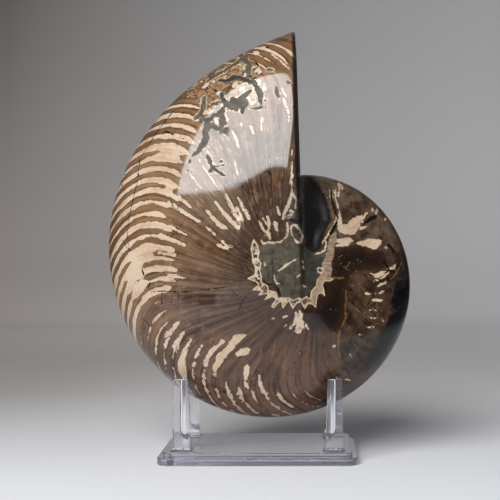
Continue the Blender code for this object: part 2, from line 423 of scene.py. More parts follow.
@dataclass(frozen=True)
class Lanes:
    """How a set of thin strokes is stored, so that a coarse mesh still draws them crisply.

    Each lane holds the signed distance to its nearest stroke and the half width that the
    stroke has there. Both run smoothly over the faces, and the finish compares them.
    Strokes that lie close together go in different lanes.
    """

    name: str
    count: int
    apart: float = 7.0              # millimetres between strokes of one lane
    reach: float = 2.6              # millimetres past which a stroke is let go
    nowhere: float = 30.0           # millimetres, where there is no stroke

    def sort(self, strokes: tuple[Stroke, ...]) -> list[list[Stroke]]:
        """Share the strokes out among the lanes.

        Args:
            strokes: all of them.

        Returns:
            The strokes of each lane.
        """
        lanes: list[list[Stroke]] = [[] for _ in range(self.count)]
        for stroke in strokes:
            points = dense(stroke)
            room = []
            for lane in lanes:
                gaps = [np.min(np.hypot(points[:, None, 0] - other[None, :, 0], points[:, None, 1]
                                        - other[None, :, 1])) for other in map(dense, lane)]
                room.append(min(gaps, default=99.0))
            free = [place for place, gap in enumerate(room) if gap > self.apart]
            lanes[free[0] if free else int(np.argmax(room))].append(stroke)
        return lanes

    def fields(self, strokes: tuple[Stroke, ...], x: np.ndarray,
               z: np.ndarray) -> dict[str, np.ndarray]:
        """Work out both fields of every lane.

        Args:
            strokes: the marks.
            x: millimetres from the axis along +X.
            z: millimetres above the axis.

        Returns:
            The fields by name.
        """
        made = {}
        for place, lane in enumerate(self.sort(strokes)):
            depth, off = np.full(x.shape, -self.nowhere), np.full(x.shape, self.nowhere)
            wide = np.full(x.shape, -5.0)
            for stroke in lane:
                last = len(stroke) - 2
                for part, (start, end) in enumerate(zip(stroke, stroke[1:])):
                    dx, dz = end[0] - start[0], end[1] - start[1]
                    length = max(math.hypot(dx, dz), 1e-6)
                    px, pz = x - start[0], z - start[1]
                    along = (px * dx + pz * dz) / length
                    across = (pz * dx - px * dz) / length
                    held = np.clip(along, 0.0, length)
                    beyond = np.abs(along - held)
                    half = start[2] + (end[2] - start[2]) * held / length
                    away = np.hypot(across, beyond)
                    tip = (along < 0.0) & (part == 0) | (along > 0.0) & (part == last)
                    cap = np.sqrt(np.maximum(half * half - beyond * beyond, 0.0))
                    cap = cap - np.maximum(beyond - half, 0.0)
                    allowed = np.where(tip, cap, half) - 2 * np.maximum(away - self.reach, 0)
                    side = np.where(tip, across, np.copysign(away, across))
                    better = half - away > depth
                    depth = np.where(better, half - away, depth)
                    off = np.where(better, side, off)
                    wide = np.where(better, allowed, wide)
            made[f"{self.name}_off{place}"] = off
            made[f"{self.name}_in{place}"] = wide
        return made


def dense(stroke: Stroke) -> np.ndarray:
    """Points every millimetre or so along a stroke."""
    points = [np.array(stroke[0][:2])]
    for start, end in zip(stroke, stroke[1:]):
        steps = max(int(math.hypot(end[0] - start[0], end[1] - start[1])), 1)
        for step in range(1, steps + 1):
            part = step / steps
            points.append(np.array((start[0] + (end[0] - start[0]) * part,
                                    start[1] + (end[1] - start[1]) * part)))
    return np.array(points)


def outline_depth(x: np.ndarray, z: np.ndarray, outline: Outline) -> np.ndarray:
    """How far places lie inside a closed outline.

    Args:
        x: millimetres from the axis along +X.
        z: millimetres above the axis.
        outline: its corners.

    Returns:
        Millimetres inside, negative outside.
    """
    away = np.full(x.shape, 1e9)
    inside = np.zeros(x.shape, dtype=bool)
    for (x0, z0), (x1, z1) in zip(outline, outline[1:] + outline[:1]):
        dx, dz = x1 - x0, z1 - z0
        along = np.clip(((x - x0) * dx + (z - z0) * dz) / max(dx * dx + dz * dz, 1e-9), 0, 1)
        away = np.minimum(away, np.hypot(x - x0 - along * dx, z - z0 - along * dz))
        crosses = (z0 > z) != (z1 > z)
        with np.errstate(divide="ignore", invalid="ignore"):
            inside ^= crosses & (x < (z - z0) * dx / (dz if dz else 1e-9) + x0)
    return np.where(inside, away, -away)


FLECKS = Lanes("fleck", 5)
RUSTS = Lanes("rust", 2)
HOLES = Lanes("hole", 3)
VEINS = Lanes("vein", 4)


@dataclass(frozen=True)
class Markings:
    """Where the shell and the rock show what, on one flank.

    Every mark is given as it is seen square on: its points in millimetres from the
    coil's axis, to +X and up, with half its width after them where it is a stroke.
    """

    flecks: tuple[Stroke, ...]      # cream shell
    rusts: tuple[Stroke, ...]       # iron-stained shell
    holes: tuple[Stroke, ...]       # small pits and gaps, black inside
    veins: tuple[Stroke, ...]       # grey-green rock in broken shell
    rock: Outline                   # the navel's filling
    border: Outline                 # its zigzag edge of shell
    trough: Outline                 # the black hollow beside the aperture
    amber: Outline                  # clear dark crystal
    slate: Outline                  # dull dark patch by the old venter
    blots: tuple[tuple[float, float, float, float], ...] = ()
    rubble: tuple[float, float, float, float] = (0.0, 0.0, 1.0, 1.0)    # middle, half sizes

    def fields(self, coil: Coil, turn: np.ndarray, share: np.ndarray, x: np.ndarray,
               z: np.ndarray) -> dict[str, np.ndarray]:
        """Work out every field that the shell's finish reads.

        Args:
            coil: the shell's rule.
            turn: turn of each place, in radians.
            share: share of each place.
            x: millimetres from the axis along +X.
            z: millimetres above the axis.

        Returns:
            The fields by name, one value for each place.
        """
        angle = coil.rib_angle(turn, share)
        made = {"rib": coil.rib_count(angle), "angle": angle}

        # How much of each rib is cream: half of it over the young venter, less further on.
        floor = np.interp(angle, (28, 32, 40, 50, 60, 66, 75, 82, 90, 97),
                          (.83, .79, .73, .70, .64, .70, .60, .62, .60, .66))
        bold = hump(angle, 24, 32, 97, 101) * smooth_step(0, .03, share - floor)
        thin = hump(angle, 97, 103, 128, 150) * smooth_step(.70, .78, share)
        young = (1 - smooth_step(22, 30, angle)) * smooth_step(.80, .86, share)
        low = hump(angle, 125, 132, 168, 186) * smooth_step(.77, .84, share)
        cream = .50 * bold + .24 * thin * (1 - bold) + .17 * young + .21 * low
        for middle_angle, middle_share, wide, tall in self.blots:
            far = np.hypot((angle - middle_angle) / wide, (share - middle_share) / tall)
            cream = np.maximum(cream, 1.25 * (1 - smooth_step(.45, 1.3, far)))
        made["cream"] = cream

        for lanes, strokes in ((FLECKS, self.flecks), (RUSTS, self.rusts),
                               (HOLES, self.holes), (VEINS, self.veins)):
            made.update(lanes.fields(strokes, x, z))
        for name in ("rock", "border", "trough", "amber", "slate"):
            made[name] = np.maximum(outline_depth(x, z, getattr(self, name)), -20.0)

        # Warm tan by the young venter, plum brown on the flank, umber on the old whorl.
        venter = (smooth_step(.60, .86, share + .06 * np.sin(angle * .12))
                  * (1 - smooth_step(85, 122, angle)))
        flank = .4 * smooth_step(.25, .5, share) * hump(angle, 52, 70, 94, 100)
        made["warm"] = (np.maximum(venter, flank)
                        + .6 * smooth_step(.80, .97, share) * hump(angle, 122, 140, 165, 182))
        made["old"] = smooth_step(180, 205, angle)
        # The venter darkens, but for the stretch where the warm tan comes back; part of this is painted
        # shade, strongest on the underside.
        made["edge"] = smooth_step(.80, 1, share) * (
            .35 + .2 * smooth_step(90, 110, angle) - .5 * smooth_step(118, 135, angle)
            + .7 * smooth_step(162, 182, angle))
        made["worn"] = 2.2 * smooth_step(97, 125, angle)
        reach = np.hypot(x, z)
        made["back"] = np.where((turn < 1) & (reach > 20), reach * np.sin(turn), 50)
        # Painted shadow beside the crease by the aperture: a dark strip just right of it up high, and the
        # rock right of it lower down.
        made["shade"] = (np.exp(-((x - 2.6) / 2.6) ** 2) * (1 - smooth_step(-8, -2, -z))
                         + .7 * smooth_step(0, 2, x) * smooth_step(-8, -2, -z))
        young = .75 * smooth_step(96, 101, angle) + .25 * smooth_step(101, 150, angle)
        lower = 1 - smooth_step(-6, 24, z)
        made["dusk"] = young + (lower - young) * made["old"]
        # The toothed edge is filled with bone-brown shell at +X, with no rim up there.
        made["bone"] = smooth_step(-2, 6, x) * (1 + smooth_step(-7, -1, z))
        # The flank is darkest towards the navel, and paler by the first bold ribs.
        made["inward"] = (.58 * (1 - smooth_step(.28, .74, share))
                          + .12 * hump(angle, 60, 72, 90, 98) * (1 - smooth_step(.70, .85, share)))
        made["lift"] = .22 * hump(share, .30, .45, .72, .85) * hump(angle, 26, 42, 48, 66)
        middle_x, middle_z, half_x, half_z = self.rubble
        made["rubble"] = 1 - np.hypot((x - middle_x) / half_x, (z - middle_z) / half_z)
        return made


NEAR_FLECKS = (
    ((-4.3, 52.6, .22), (-4.4, 43.8, .44), (-4.4, 37.4, .62), (-4.4, 32.8, .71), (-5.8, 29.5, .71),
     (-7.1, 26.2, .71), (-8, 24.2, .67), (-8.5, 22.4, .49)),
    ((-3.8, 32.7, .44), (-2.2, 30.6, .44), (-.9, 30.4, .36)), ((-2.7, 29.3, .67), (-3, 27.7, .53)),
    ((-5, 26.4, .27), (-3.9, 25.4, .27), (-4.8, 24.2, .31), (-5.7, 25.4, .22), (-5, 26.4, .27)),
    ((-4.5, 19.8, .4), (-2.6, 19.5, .4), (-.8, 17.5, .4), (-.1, 14.9, .44), (-.4, 12.1, .44),
     (-1.8, 11.8, .44), (-3.2, 13.1, .4), (-4.4, 15.6, .4), (-4.8, 18.5, .36), (-4.5, 19.8, .36)),
    ((-6.6, 20.7, .27), (-6.3, 18.1, .22), (-6.6, 15.1, .22), (-7.9, 13.4, .31), (-9.8, 12.2, .27),
     (-12.8, 11.7, .31), (-14.9, 12, .31), (-17.3, 11.2, .36), (-18.1, 13.1, .27)),
    ((-19.1, 21.5, .4), (-17.7, 19.1, .44), (-16.9, 17.1, .4), (-15.5, 16.2, .4), (-14.7, 18, .44),
     (-14.5, 20.9, .49), (-15.4, 23.6, .53)), ((-15.2, 17, .53), (-14.3, 14, .71)),
    ((-11.9, 20.9, .62), (-11.5, 18.2, .84), (-10.8, 17.1, .49)),
    ((-10.9, 28.1, .27), (-10.6, 25.9, .31), (-9.6, 24.1, .27)),
    ((-17.3, 22.8, .31), (-15.8, 20.1, .4)),
    ((-11, -1.2, .36), (-7.6, 1.4, .36), (-4.8, 3.2, .31), (-2.8, 4.2, .18)),
    ((-2.2, -3.5, .4), (-.9, -2.6, .36)), ((.4, 1.3, .44), (.8, 0, .44)),
    ((0, 3.6, .27), (.9, 2.2, .22)),
    ((-12.6, -1.3, .18), (-12.1, -4.8, .22), (-10.8, -6.7, .27), (-9.8, -6.1, .22)),
    ((7.2, .4, .16), (8.5, .4, .16), (9.5, -1, .16), (8.5, -1.9, .16), (7.2, -1.4, .16),
     (7.2, .4, .16)),
    ((5.8, 6.7, .31), (8.1, 7.2, .36), (10.5, 8.6, .36), (10.9, 11.3, .31), (10.4, 13.9, .27)),
    ((.5, -7.3, .22), (1.3, -8.1, .22)), ((-16.8, 3.2, .22), (-16.5, 1.4, .22)),
    ((-12.5, 4.1, .22), (-12.1, 3.2, .18)),
    ((-2.7, -19.8, .44), (-2.6, -22.1, .67), (-3.2, -24.7, .53), (-5.3, -26.7, .53)),
    ((-.9, -19.3, .53), (-.5, -22, 1.1), (-1.4, -24.7, 1.3), (.3, -26.2, .67)),
    ((1.9, -25.4, .44), (2.7, -27.2, .36)), ((-8.1, -21.5, .49), (-6.8, -21.1, .31)),
    ((-13.4, -22.4, .31), (-12.5, -21.9, .22)), ((-8.1, -26.1, .22), (-7.1, -25.2, .22)),
    ((17.1, 26.1, .44), (17, 22.4, .84), (17.6, 18.7, 1.4)),
    ((17.9, 17.7, 1.3), (20.1, 18.2, 2.4), (22.4, 18.3, 3.2), (24.2, 20.9, 2.8), (26, 22.8, 1.5),
     (28.1, 21.3, .62)), ((28.3, 23.5, .8), (30.1, 25.9, .31)), ((27.4, 18.6, .67), (30.1, 19.7, .31)),
    ((32.7, 28.1, .36), (32.9, 26.8, .36)), ((34.9, 27.5, .44), (34.6, 25.3, .36)),
    ((15.8, 12.9, .71), (18.7, 12.5, 1.3), (21.3, 13.2, 1.2), (23.2, 13, .44)),
    ((15.5, 10.7, .53), (18.7, 10.9, .71), (22, 11.6, .4)),
    ((25.2, 11.6, .27), (28.1, 11.7, 1.3), (30.8, 12, 2), (33.3, 11.3, 2.3), (35.3, 12, 1.4),
     (36.8, 12.8, .31)), ((31.8, -2.4, .44), (34.1, -3.5, 1), (36.4, -2.4, 1.1), (38.3, -1.5, .53)),
    ((36, -4.9, .44), (37.8, -3.8, .36), (40.2, -1.6, .31)), ((33.1, -5.7, .27), (35, -5.4, .36)),
    ((39.3, -.2, .27), (42.1, .1, .71), (43.1, 1.3, .53)),
    ((35.1, -8, .36), (36.3, -7.3, .53), (38.7, -6.3, .44)), ((28.9, -11.3, .36), (31.7, -11.7, .36)),
    ((33.6, -11.8, .27), (34, -11.6, .27)), ((35.4, -11.4, .31), (37.8, -10.4, .31)),
    ((32.6, -14.4, .4), (35.5, -14.9, .58), (36.9, -14.4, .27)), ((31.2, -19, .31), (34, -19.1, .4)),
    ((31.6, -22.8, .27), (33.5, -22.9, .4)), ((30.2, -27, .31), (33, -27, .36)),
    ((37.4, -24.1, .31), (37.9, -24.4, .27)), ((26.1, -30.4, .27), (27.1, -30.4, .22)),
    ((22.1, -39.6, .31), (22.9, -41, .31)), ((14.2, -35.7, .36), (15.5, -35.3, .27)),
    ((19.8, -51.1, .27), (22.2, -51.8, .22)), ((38.7, 22.6, .27), (39.2, 23.3, .22)),
    ((38.4, 10.1, .27), (39.4, 8.9, .22)), ((16.9, 40.1, .36), (17.3, 36.6, .4), (16.7, 33.7, .27)),
    ((18.1, 39.1, .27), (18.9, 36.7, .22)),
    ((15.3, 36.5, .36), (15.4, 33.3, .44), (16.1, 29.8, .53), (16.9, 27.8, .4)),
    ((12.8, 36.5, .18), (12.7, 32.6, .18)), ((14.3, 36.6, .18), (14.6, 32.3, .22)),
    ((16.2, 25.2, .27), (15.2, 21.4, .31), (13.1, 18.2, .31), (11.4, 14.9, .31), (9.1, 11.7, .27)),
    ((-27.8, 92.8, .89), (-26.2, 93.2, .89)), ((-27.6, 89, .89), (-26.4, 88.1, 1.2)),
    ((-44.3, 70.3, .89), (-42.1, 70.8, 1.3), (-40.3, 72.2, 1), (-39.2, 73, .71)),
    ((-38.4, 67.3, 1.2), (-38.4, 66, 1.2)), ((-34.7, 63.4, .44), (-33.7, 64.1, .31)),
    ((-21.5, 99.4, 1.1), (-20.4, 98.7, .89)),
    ((-31.1, 61.8, .44), (-28.9, 57.6, .62), (-28.3, 53.9, .31)),
    ((-27.7, 66.1, .44), (-26.6, 63.6, .36)), ((-23, 64.1, .31), (-21.6, 60.2, .27)),
    ((-46, 49, .36), (-42.9, 44.1, .44), (-40.1, 39.8, .36), (-36.9, 35.4, .22)),
    ((-50.2, 42.6, .44), (-47.3, 38.7, .44), (-44.1, 35.4, .36)),
    ((-42.6, 53.1, .31), (-39.6, 48.6, .27)), ((-8.3, 76.1, .36), (-6.4, 70.7, .44), (-5.4, 65.1, .31)),
    ((-34.1, 72.5, .44), (-34.4, 69.8, .44), (-33.4, 66.4, .31)),
    ((-17.8, 67.7, .44), (-17.9, 61.8, .36)), ((-26.3, 90.5, .04), (-25.2, 89.8, .04)),
    ((-25.9, 81.3, 1.3), (-30.4, 80.4, 1.3), (-33.2, 77.5, .89)),
    ((-21.9, 78, 1.6), (-22.5, 74.9, 1.8)), ((-15.1, 98.4, .31), (-10.3, 94.7, .36), (-5.8, 89.9, .27)),
    ((-18.5, 102.6, .4), (-15.3, 100.2, .4), (-13.1, 96.9, .36)), ((-8.8, 80.8, .31), (-7, 76.6, .27)),
    ((-30.1, 48.7, .22), (-28.4, 41.9, .22)), ((-33.6, 33.1, .7), (-30.8, 27.1, .9), (-28.3, 22.3, .8)),
    ((-38.3, 30, .6), (-33.3, 23.2, 1), (-28.2, 18.6, .9)),
    ((-42.6, 26.2, .6), (-37.1, 19.9, 1), (-33.6, 18.2, .7)), ((-28.3, 31.7, .6), (-23.3, 22.4, .7)),
    ((-29.2, 27.6, .5), (-26.3, 21.7, .7)), ((-42.5, 18.9, .3), (-38.7, 15.5, .5)),
    ((-35.6, 12.6, .4), (-33, 9.7, .5), (-34.3, 9.5, .6), (-37.8, 10.9, .4)),
    ((-59.8, 29.8, .8), (-45.8, 21.2, .6)), ((-55.1, 32.1, .8), (-49.4, 27.5, .6)),
    ((-59.1, 19.1, .5), (-51.7, 15.3, .4)), ((-63.5, 15.3, .9), (-52.4, 10.7, .6)),
    ((-64.1, 7.3, .9), (-56.3, 6.2, .5)), ((-59.6, -2.9, .8), (-52.2, -4, .5)),
    ((-61.9, -5.3, .6), (-56, -5.2, .4)), ((-61.5, -30.2, 1), (-55.7, -24.2, .7)),
    ((-57.8, -35, 1.1), (-53.3, -28.5, .5)), ((-53.8, -37.5, .7), (-49.7, -31.6, .5)),
    ((-48.4, -39.8, .7), (-44.9, -34.2, .4)),
    ((-44.2, -43.6, .9), (-41.2, -37.4, 1), (-35.6, -32.5, .8)),
    ((-39.7, -46, 1), (-37.1, -40.2, 1.7), (-32.6, -35.6, 1.5), (-29.2, -31.2, 1.9),
     (-25.7, -29.6, .6)), ((-29.1, -38.4, .9), (-27.1, -37.7, 1.6), (-24.5, -36.7, 1.3)),
    ((-25.7, -49.9, 1), (-25, -45, 1.4)), ((-17.7, -56.3, .8), (-18.9, -52.5, .9), (-19.4, -48.7, .6)),
    ((-24.6, -54.4, .6), (-26, -51.8, .9)), ((-1.7, -27.9, 1.4), (-.8, -24.3, 1.8)),
)
NEAR_RUSTS = (
    ((-19.7, 33.9, .36), (-20, 31.1, .27)), ((-15.7, 34.2, .31), (-15.4, 31.2, .22)),
    ((-10.1, 38.6, .49), (-9.7, 31.5, .44)), ((-24.3, 25.5, .4), (-23.3, 23.1, .36)),
    ((-14, 28.5, .27), (-13.6, 31.6, .27)), ((-26.2, 44.1, .27), (-24.4, 38.7, .27)),
    ((-22.5, 32.5, .27), (-21.8, 28.2, .27)), ((-30.5, 39.5, .31), (-27.4, 34.2, .27)),
    ((-35.5, 36.5, .27), (-31.9, 31.7, .27)), ((-12.9, 43, .31), (-11.8, 37, .31)),
    ((-17, 46.2, .27), (-15.7, 39.5, .27)), ((-6.5, 48.3, .36), (-6, 41.3, .27)),
    ((13.2, 25.7, .71), (14.7, 23.2, .71)), ((11.8, 18.6, .53), (13.8, 21.3, .53)),
    ((12.3, -4.2, .44), (15.4, -4.2, .44), (19.1, -4.3, .36)),
    ((20, -10.1, .31), (20.1, -14.2, .22), (19.7, -18.9, .31), (20, -22.5, .31), (18.2, -26.2, .31),
     (16.8, -29.5, .36), (16.5, -33.5, .22), (16.8, -38.2, .22), (17.9, -42.9, .18)),
    ((22.8, -16.7, .22), (26.6, -20.3, .27), (29.3, -22.3, .27), (32.2, -22.8, .22)),
    ((34.4, -15.9, .22), (34.4, -19.7, .27), (34.9, -22.9, .22)),
    ((22, 3, .18), (19.7, .2, .18), (21.5, -.7, .18)),
    ((25.7, -6.5, .18), (28.4, -9.9, .18), (31.3, -13.5, .18)),
    ((-21.6, 99.7, 1.3), (-18, 95.2, 1.5), (-20.3, 89.9, 1.3)), ((-39.2, 85.3, .8), (-36, 84.1, .71)),
    ((-42, 80.1, .8), (-38.9, 79, .89)), ((-7.9, 9.4, 1), (-6.8, 7.7, 1.2)),
    ((40.8, -5.2, .4), (43.6, -2.5, .27), (46.7, 3, .18)), ((-39.5, -27.4, .22), (-41.4, -33.8, .22)),
    ((-18, -34.2, .18), (-20.1, -43.4, .22)), ((-12.1, -31.9, .22), (-14, -42.2, .22)),
    ((-7.2, -34.5, .18), (-8.6, -45.1, .22)), ((-22, -31.1, .18), (-25, -37.3, .22)),
)
NEAR_HOLES = (
    ((-59.3, 72.5, .15), (-67.9, 60.8, .15), (-74.6, 50, .15), (-75.1, 39.6, .15), (-76.4, 34.2, .15),
     (-79.1, 21.6, .15), (-79.6, 14.8, .15), (-78.7, 9.5, .15)),
    ((-68.8, -10.3, .18), (-62, -9.9, .18), (-54.4, -10.3, .18), (-46.3, -9.5, .18),
     (-31.9, -7.7, .18)),
    ((-62.9, -10.3, .15), (-63.4, -14.4, .15), (-62, -18.4, .15), (-62.9, -22.5, .15)),
    ((-55.3, -10.3, .15), (-55.3, -13.1, .15)),
    ((-72.8, -22.5, .15), (-69.7, -25.7, .15), (-70.6, -30.6, .15)),
    ((-31.9, -7.7, .22), (-30.1, -10.8, .22), (-26.9, -12.6, .22)),
    ((-4.9, 21.9, .84), (-2.5, 21.4, 1), (-.5, 22.2, .93)), ((-43.5, 82.8, .53), (-43.3, 82.5, .44)),
    ((-40.2, 81.8, .44), (-38.8, 80.7, .44)), ((-35.2, 84.2, .36), (-34.3, 84, .36)),
    ((-37.8, 86.2, .44), (-34, 85.4, .58), (-31.2, 87, 1.1), (-28.7, 87.2, .71), (-25.6, 85.4, .71),
     (-22.9, 84.4, .53)), ((-21.1, 93.8, .44), (-20.1, 92.7, .53)),
    ((-20.6, 91.3, .36), (-19.8, 91.7, .36)), ((-18.2, 96.3, .44), (-17.4, 96.6, .44)),
    ((-16.5, 101.6, .36), (-15.6, 102, .36)),
    ((-36.4, 79.1, .62), (-35.5, 77.2, .71), (-34.8, 75.6, .44)),
    ((-23.8, 87.5, .44), (-22.8, 86.8, .44)), ((-21.7, 85.8, .53), (-20.2, 86.1, .44)),
    ((15.8, 21.2, .44), (14.5, 18.7, .8), (13, 15.9, .53)),
    ((28.6, 21, .44), (30.5, 21.9, .84), (33, 23.7, 1.1), (34.5, 24.4, .62)),
    ((-15, -6.6, .36), (-12.4, -6.9, .44), (-10.6, -8.8, .53), (-9.8, -11.9, .44)),
    ((-13.2, 1.5, .18), (-12.9, -1.3, .22), (-12.8, -4.7, .22)),
    ((18.1, -44.3, .18), (21, -46.8, .27), (22.3, -50.7, .22)),
    ((13.2, 35.8, .36), (14.2, 29.4, .36), (15.5, 25.5, .36), (16.5, 23.3, .4)),
    ((39.7, -.6, .4), (42.7, -1.7, .49)), ((31.3, -2.9, .44), (33.2, -3.4, .36)),
    ((40.3, 11, .67), (42.7, 7.7, .71)), ((37.8, 3.1, .71), (39.8, .1, .53)),
    ((-11.3, 73.7, .22), (-10.3, 67.3, .36), (-10, 61.7, .31)), ((-8.4, 77.5, .22), (-7.6, 76.3, .22)),
    ((-26, 8.6, .22), (-28.2, 11.3, .22)), ((-63.6, 62.1, .27), (-61.9, 62.6, .44), (-58.2, 60.9, .27)),
    ((-54.3, 58.9, .27), (-52.3, 58.7, .22)),
    ((-28.1, -17.7, .27), (-26.2, -13.8, .4), (-24.8, -11.9, .18)),
    ((-14.4, -20.7, .22), (-15.2, -23.6, .18)), ((-2.6, -34.9, .18), (-2.4, -36.7, .18)),
    ((-17.7, -36.6, .18), (-17.3, -37.4, .18)), ((6.2, -19, .22), (7.3, -22.3, .18)),
    ((-72.4, .4, .27), (-71.3, -3.4, .22)), ((-68.6, -6.2, .27), (-69.7, -9.4, .22)),
    ((-2.9, 74.4, .22), (-2.4, 79.8, .22)),
)
NEAR_VEINS = (
    ((-28.9, 99.6, .8), (-26, 95.6, .89), (-24.2, 92.3, 1.1), (-24.3, 89.5, 1.1), (-25.2, 86.7, .8),
     (-23.7, 84.4, .62)),
    ((-44.2, 86, .31), (-41.4, 87.9, .44), (-38.5, 89.8, .53), (-35.4, 91.3, .49), (-32.5, 93.4, .62),
     (-29.4, 95, .44), (-27.4, 97.6, .44)),
    ((-44.4, 77.9, .67), (-44.7, 75.2, .89), (-45, 72.8, 1), (-45.4, 70.7, .84), (-48, 68.1, .8)),
    ((-37.8, 86.2, .71), (-34, 85.4, .8), (-31.2, 87, 1.2), (-28.5, 86.6, 1), (-25.6, 85.4, 1),
     (-22.8, 84.1, .89)),
    ((-22.4, 85.4, .89), (-20.9, 82.7, 1.1), (-19.4, 79.6, 1.2), (-18.5, 75.8, .89), (-18, 73.7, .62),
     (-16.3, 72.2, .44)), ((-18, 73.7, .31), (-16.3, 75.3, .22)),
    ((-23.7, 72, .4), (-20.8, 71.6, .4), (-17.6, 72.4, .58)),
    ((-31.2, 76.3, 1.3), (-29.6, 74.5, 2.2), (-27.2, 73.9, 2.2), (-25.1, 74.3, 1.6)),
    ((-26.5, 72, 1.3), (-26.6, 70.3, 1.1)), ((-29.3, 71.9, 1.1), (-31.8, 72.4, .8)),
    ((-28, 76.2, .89), (-25.7, 78.3, 1), (-23.2, 80, .71)),
    ((-36.4, 79.1, .8), (-35.8, 76.2, 1), (-34.2, 74.4, 1.2), (-32.9, 73.2, 1.2), (-31, 74, 1.2)),
    ((-34.2, 72.8, 1), (-36.3, 70.6, 1.6), (-35.8, 66.7, 1.8), (-35, 64, 1.4), (-34.5, 61.8, 1.1),
     (-33, 62.9, .53)), ((-40.7, 74.4, .62), (-38.4, 74.8, .84), (-36.2, 75.1, .84)),
    ((-46.2, 70.5, .71), (-44.1, 67.4, .8), (-42.1, 66.9, .8), (-39.4, 69.1, .84), (-37.4, 69.7, .89)),
    ((-43, 67.1, 1), (-42.4, 63.6, 1.1), (-43.4, 61.5, 1.3), (-43, 58.7, 1.2), (-44.4, 55.5, 1.2),
     (-45.5, 53.9, .84), (-47.9, 51.9, .62), (-49.1, 50.5, .44)),
    ((-40.5, 64.4, 1), (-38.1, 62.9, .84), (-35.7, 62.6, .84)), ((-50.5, 47.6, .4), (-50, 48.8, .31)),
    ((-51.1, 44.1, .22), (-50.5, 44.4, .22)),
    ((-41.7, 50.3, 1), (-40.6, 47.2, .49), (-39.9, 45.5, .62), (-37.8, 43.9, .71), (-35.9, 42.5, .4),
     (-34.5, 41.6, .27)), ((-39.9, 45.5, .36), (-36.8, 45.9, .31), (-35, 46.2, .27)),
    ((-39.4, 45, .44), (-41, 43.7, .67)), ((-36.5, 48, .4), (-35.9, 48.1, .36)),
    ((-11.7, 81.5, .4), (-11.4, 79, .62), (-10.4, 77.1, .36)), ((-6.9, 83.8, .27), (-5.4, 83.3, .27)),
    ((-6.1, 67.4, .27), (-5.4, 66.2, .27)), ((-15.4, 89.9, .44), (-12.9, 89.8, .36)),
)
NEAR_ROCK = (
    (-19.8, 11.1), (-17.6, 9.9), (-15.1, 11.7), (-9.8, 11.2), (-7.7, 13.1), (-5.8, 16.8), (-5.9, 20.3),
    (-6.2, 25.5), (-4.3, 31.7), (-.9, 30.4), (.4, 29.2), (.4, 10.4), (3.6, 7.6), (9, 8), (10.9, 7.7),
    (10.5, 4.1), (9.6, -1.5), (6.2, -4.6), (4.1, -8.7), (2.7, -12.3), (-.9, -13.5), (-5.4, -13.5),
    (-8.9, -12.4), (-10.2, -8.8), (-15, -6.1), (-17.7, -3.8), (-18.9, .6), (-20, 5.1),
)
NEAR_TROUGH = (
    (.6, 44.3), (3.6, 43.8), (6.4, 41.2), (9, 37.2), (11.2, 32.5), (12.9, 26.1), (13.3, 21.4),
    (10.5, 16.2), (9.1, 13.1), (8.6, 9), (5.4, 7.2), (2.2, 8.1), (.6, 10.8),
)
NEAR_BORDER = (
    (-21.6, 14), (-22.6, 9), (-22.1, 5.8), (-22, 3.2), (-20.7, .7), (-21.1, -2.5), (-24.4, -4),
    (-20.4, -5.7), (-19.4, -7), (-22.1, -9.2), (-17.7, -9.7), (-19.9, -11.8), (-16.1, -11.1),
    (-15, -11), (-16.9, -13.8), (-13.4, -12.4), (-11.5, -13.3), (-13.8, -16.6), (-12.6, -17.5),
    (-10.3, -14.8), (-9.4, -14.4), (-8.5, -17.9), (-6.7, -15.2), (-5.9, -14.4), (-4.1, -18),
    (-2.2, -15.3), (-.5, -14.9), (1.2, -18.2), (2.7, -15.8), (4.5, -15.9), (6.3, -17.7), (6.8, -14.1),
    (7.2, -11.4), (8.6, -11), (10.5, -12.4), (9.4, -7.3), (10.3, -5.6), (12.7, -5.6), (14.5, -4.7),
    (12.9, -4), (13.6, -.5), (13.2, 3.1), (14.6, 5.8), (14.5, 9.9), (15.9, 13.2), (15.5, 17.3),
    (12.7, 15), (11.8, 11.3), (11.3, 7.7), (10.4, 4.9), (9, 2.2), (9.6, -1.5), (6.8, -4.6), (6.3, -7.7),
    (4.1, -10), (3.6, -13.2), (1.8, -12.2), (0, -13.6), (-1.3, -12.7), (-4.1, -13.9), (-5.8, -12.6),
    (-7.5, -12.9), (-9.3, -12.5), (-10.6, -13.2), (-11.5, -10.1), (-14.8, -9.3), (-15.1, -7.5),
    (-17.8, -5.7), (-17.8, -3.5), (-18.5, -.4), (-18, 2.8), (-19.4, 4.9), (-18.7, 7.7), (-19.6, 10.8),
)
NEAR_AMBER = (
    (14, 9), (19.6, 9.5), (25.7, 10.5), (32.2, 8.2), (38, 7.5), (38.9, 2.9), (35.9, -.2), (28.8, -.2),
    (22.9, -1.5), (21, -6.5), (20.1, -14.2), (20, -22.5), (17.8, -27.2), (12.7, -28.9), (4.6, -28.1),
    (.1, -24), (.4, -19.5), (4.4, -18.1), (7.2, -14), (10.9, -11.4), (10.8, -6.9), (14, -5.6),
    (13.6, 3.1),
)
NEAR_SLATE = (
    (43.5, -5.6), (50.9, -4.7), (50.8, -13.4), (48.1, -20.2), (49, -23.7), (47.5, -28.3), (45.6, -32.9),
    (43.2, -36), (40.2, -39.3), (37.5, -42.1), (34.9, -44.3), (31.9, -43.6), (30.9, -40), (32.2, -37.4),
    (34.6, -35), (35.4, -32.2), (36.5, -28.8), (38.3, -26.6), (40.2, -24.4), (41, -22.1), (44.6, -19.7),
    (43, -19), (41.1, -16), (42.5, -12.4),
)
NEAR_MARKS = Markings(
    flecks=NEAR_FLECKS, rusts=NEAR_RUSTS, holes=NEAR_HOLES, veins=NEAR_VEINS, rock=NEAR_ROCK,
    trough=NEAR_TROUGH, border=NEAR_BORDER, amber=NEAR_AMBER, slate=NEAR_SLATE,
    rubble=(-34.0, 83.0, 19.0, 11.5),
    blots=((45.5, .81, 4.2, .065), (87, .85, 6.6, .055), (84, .82, 5.2, .045),
           (80.5, .765, 3.6, .06), (91, .83, 4.5, .06), (57, .725, 2.6, .025), (122.5, .865, 2.8, .055))
)


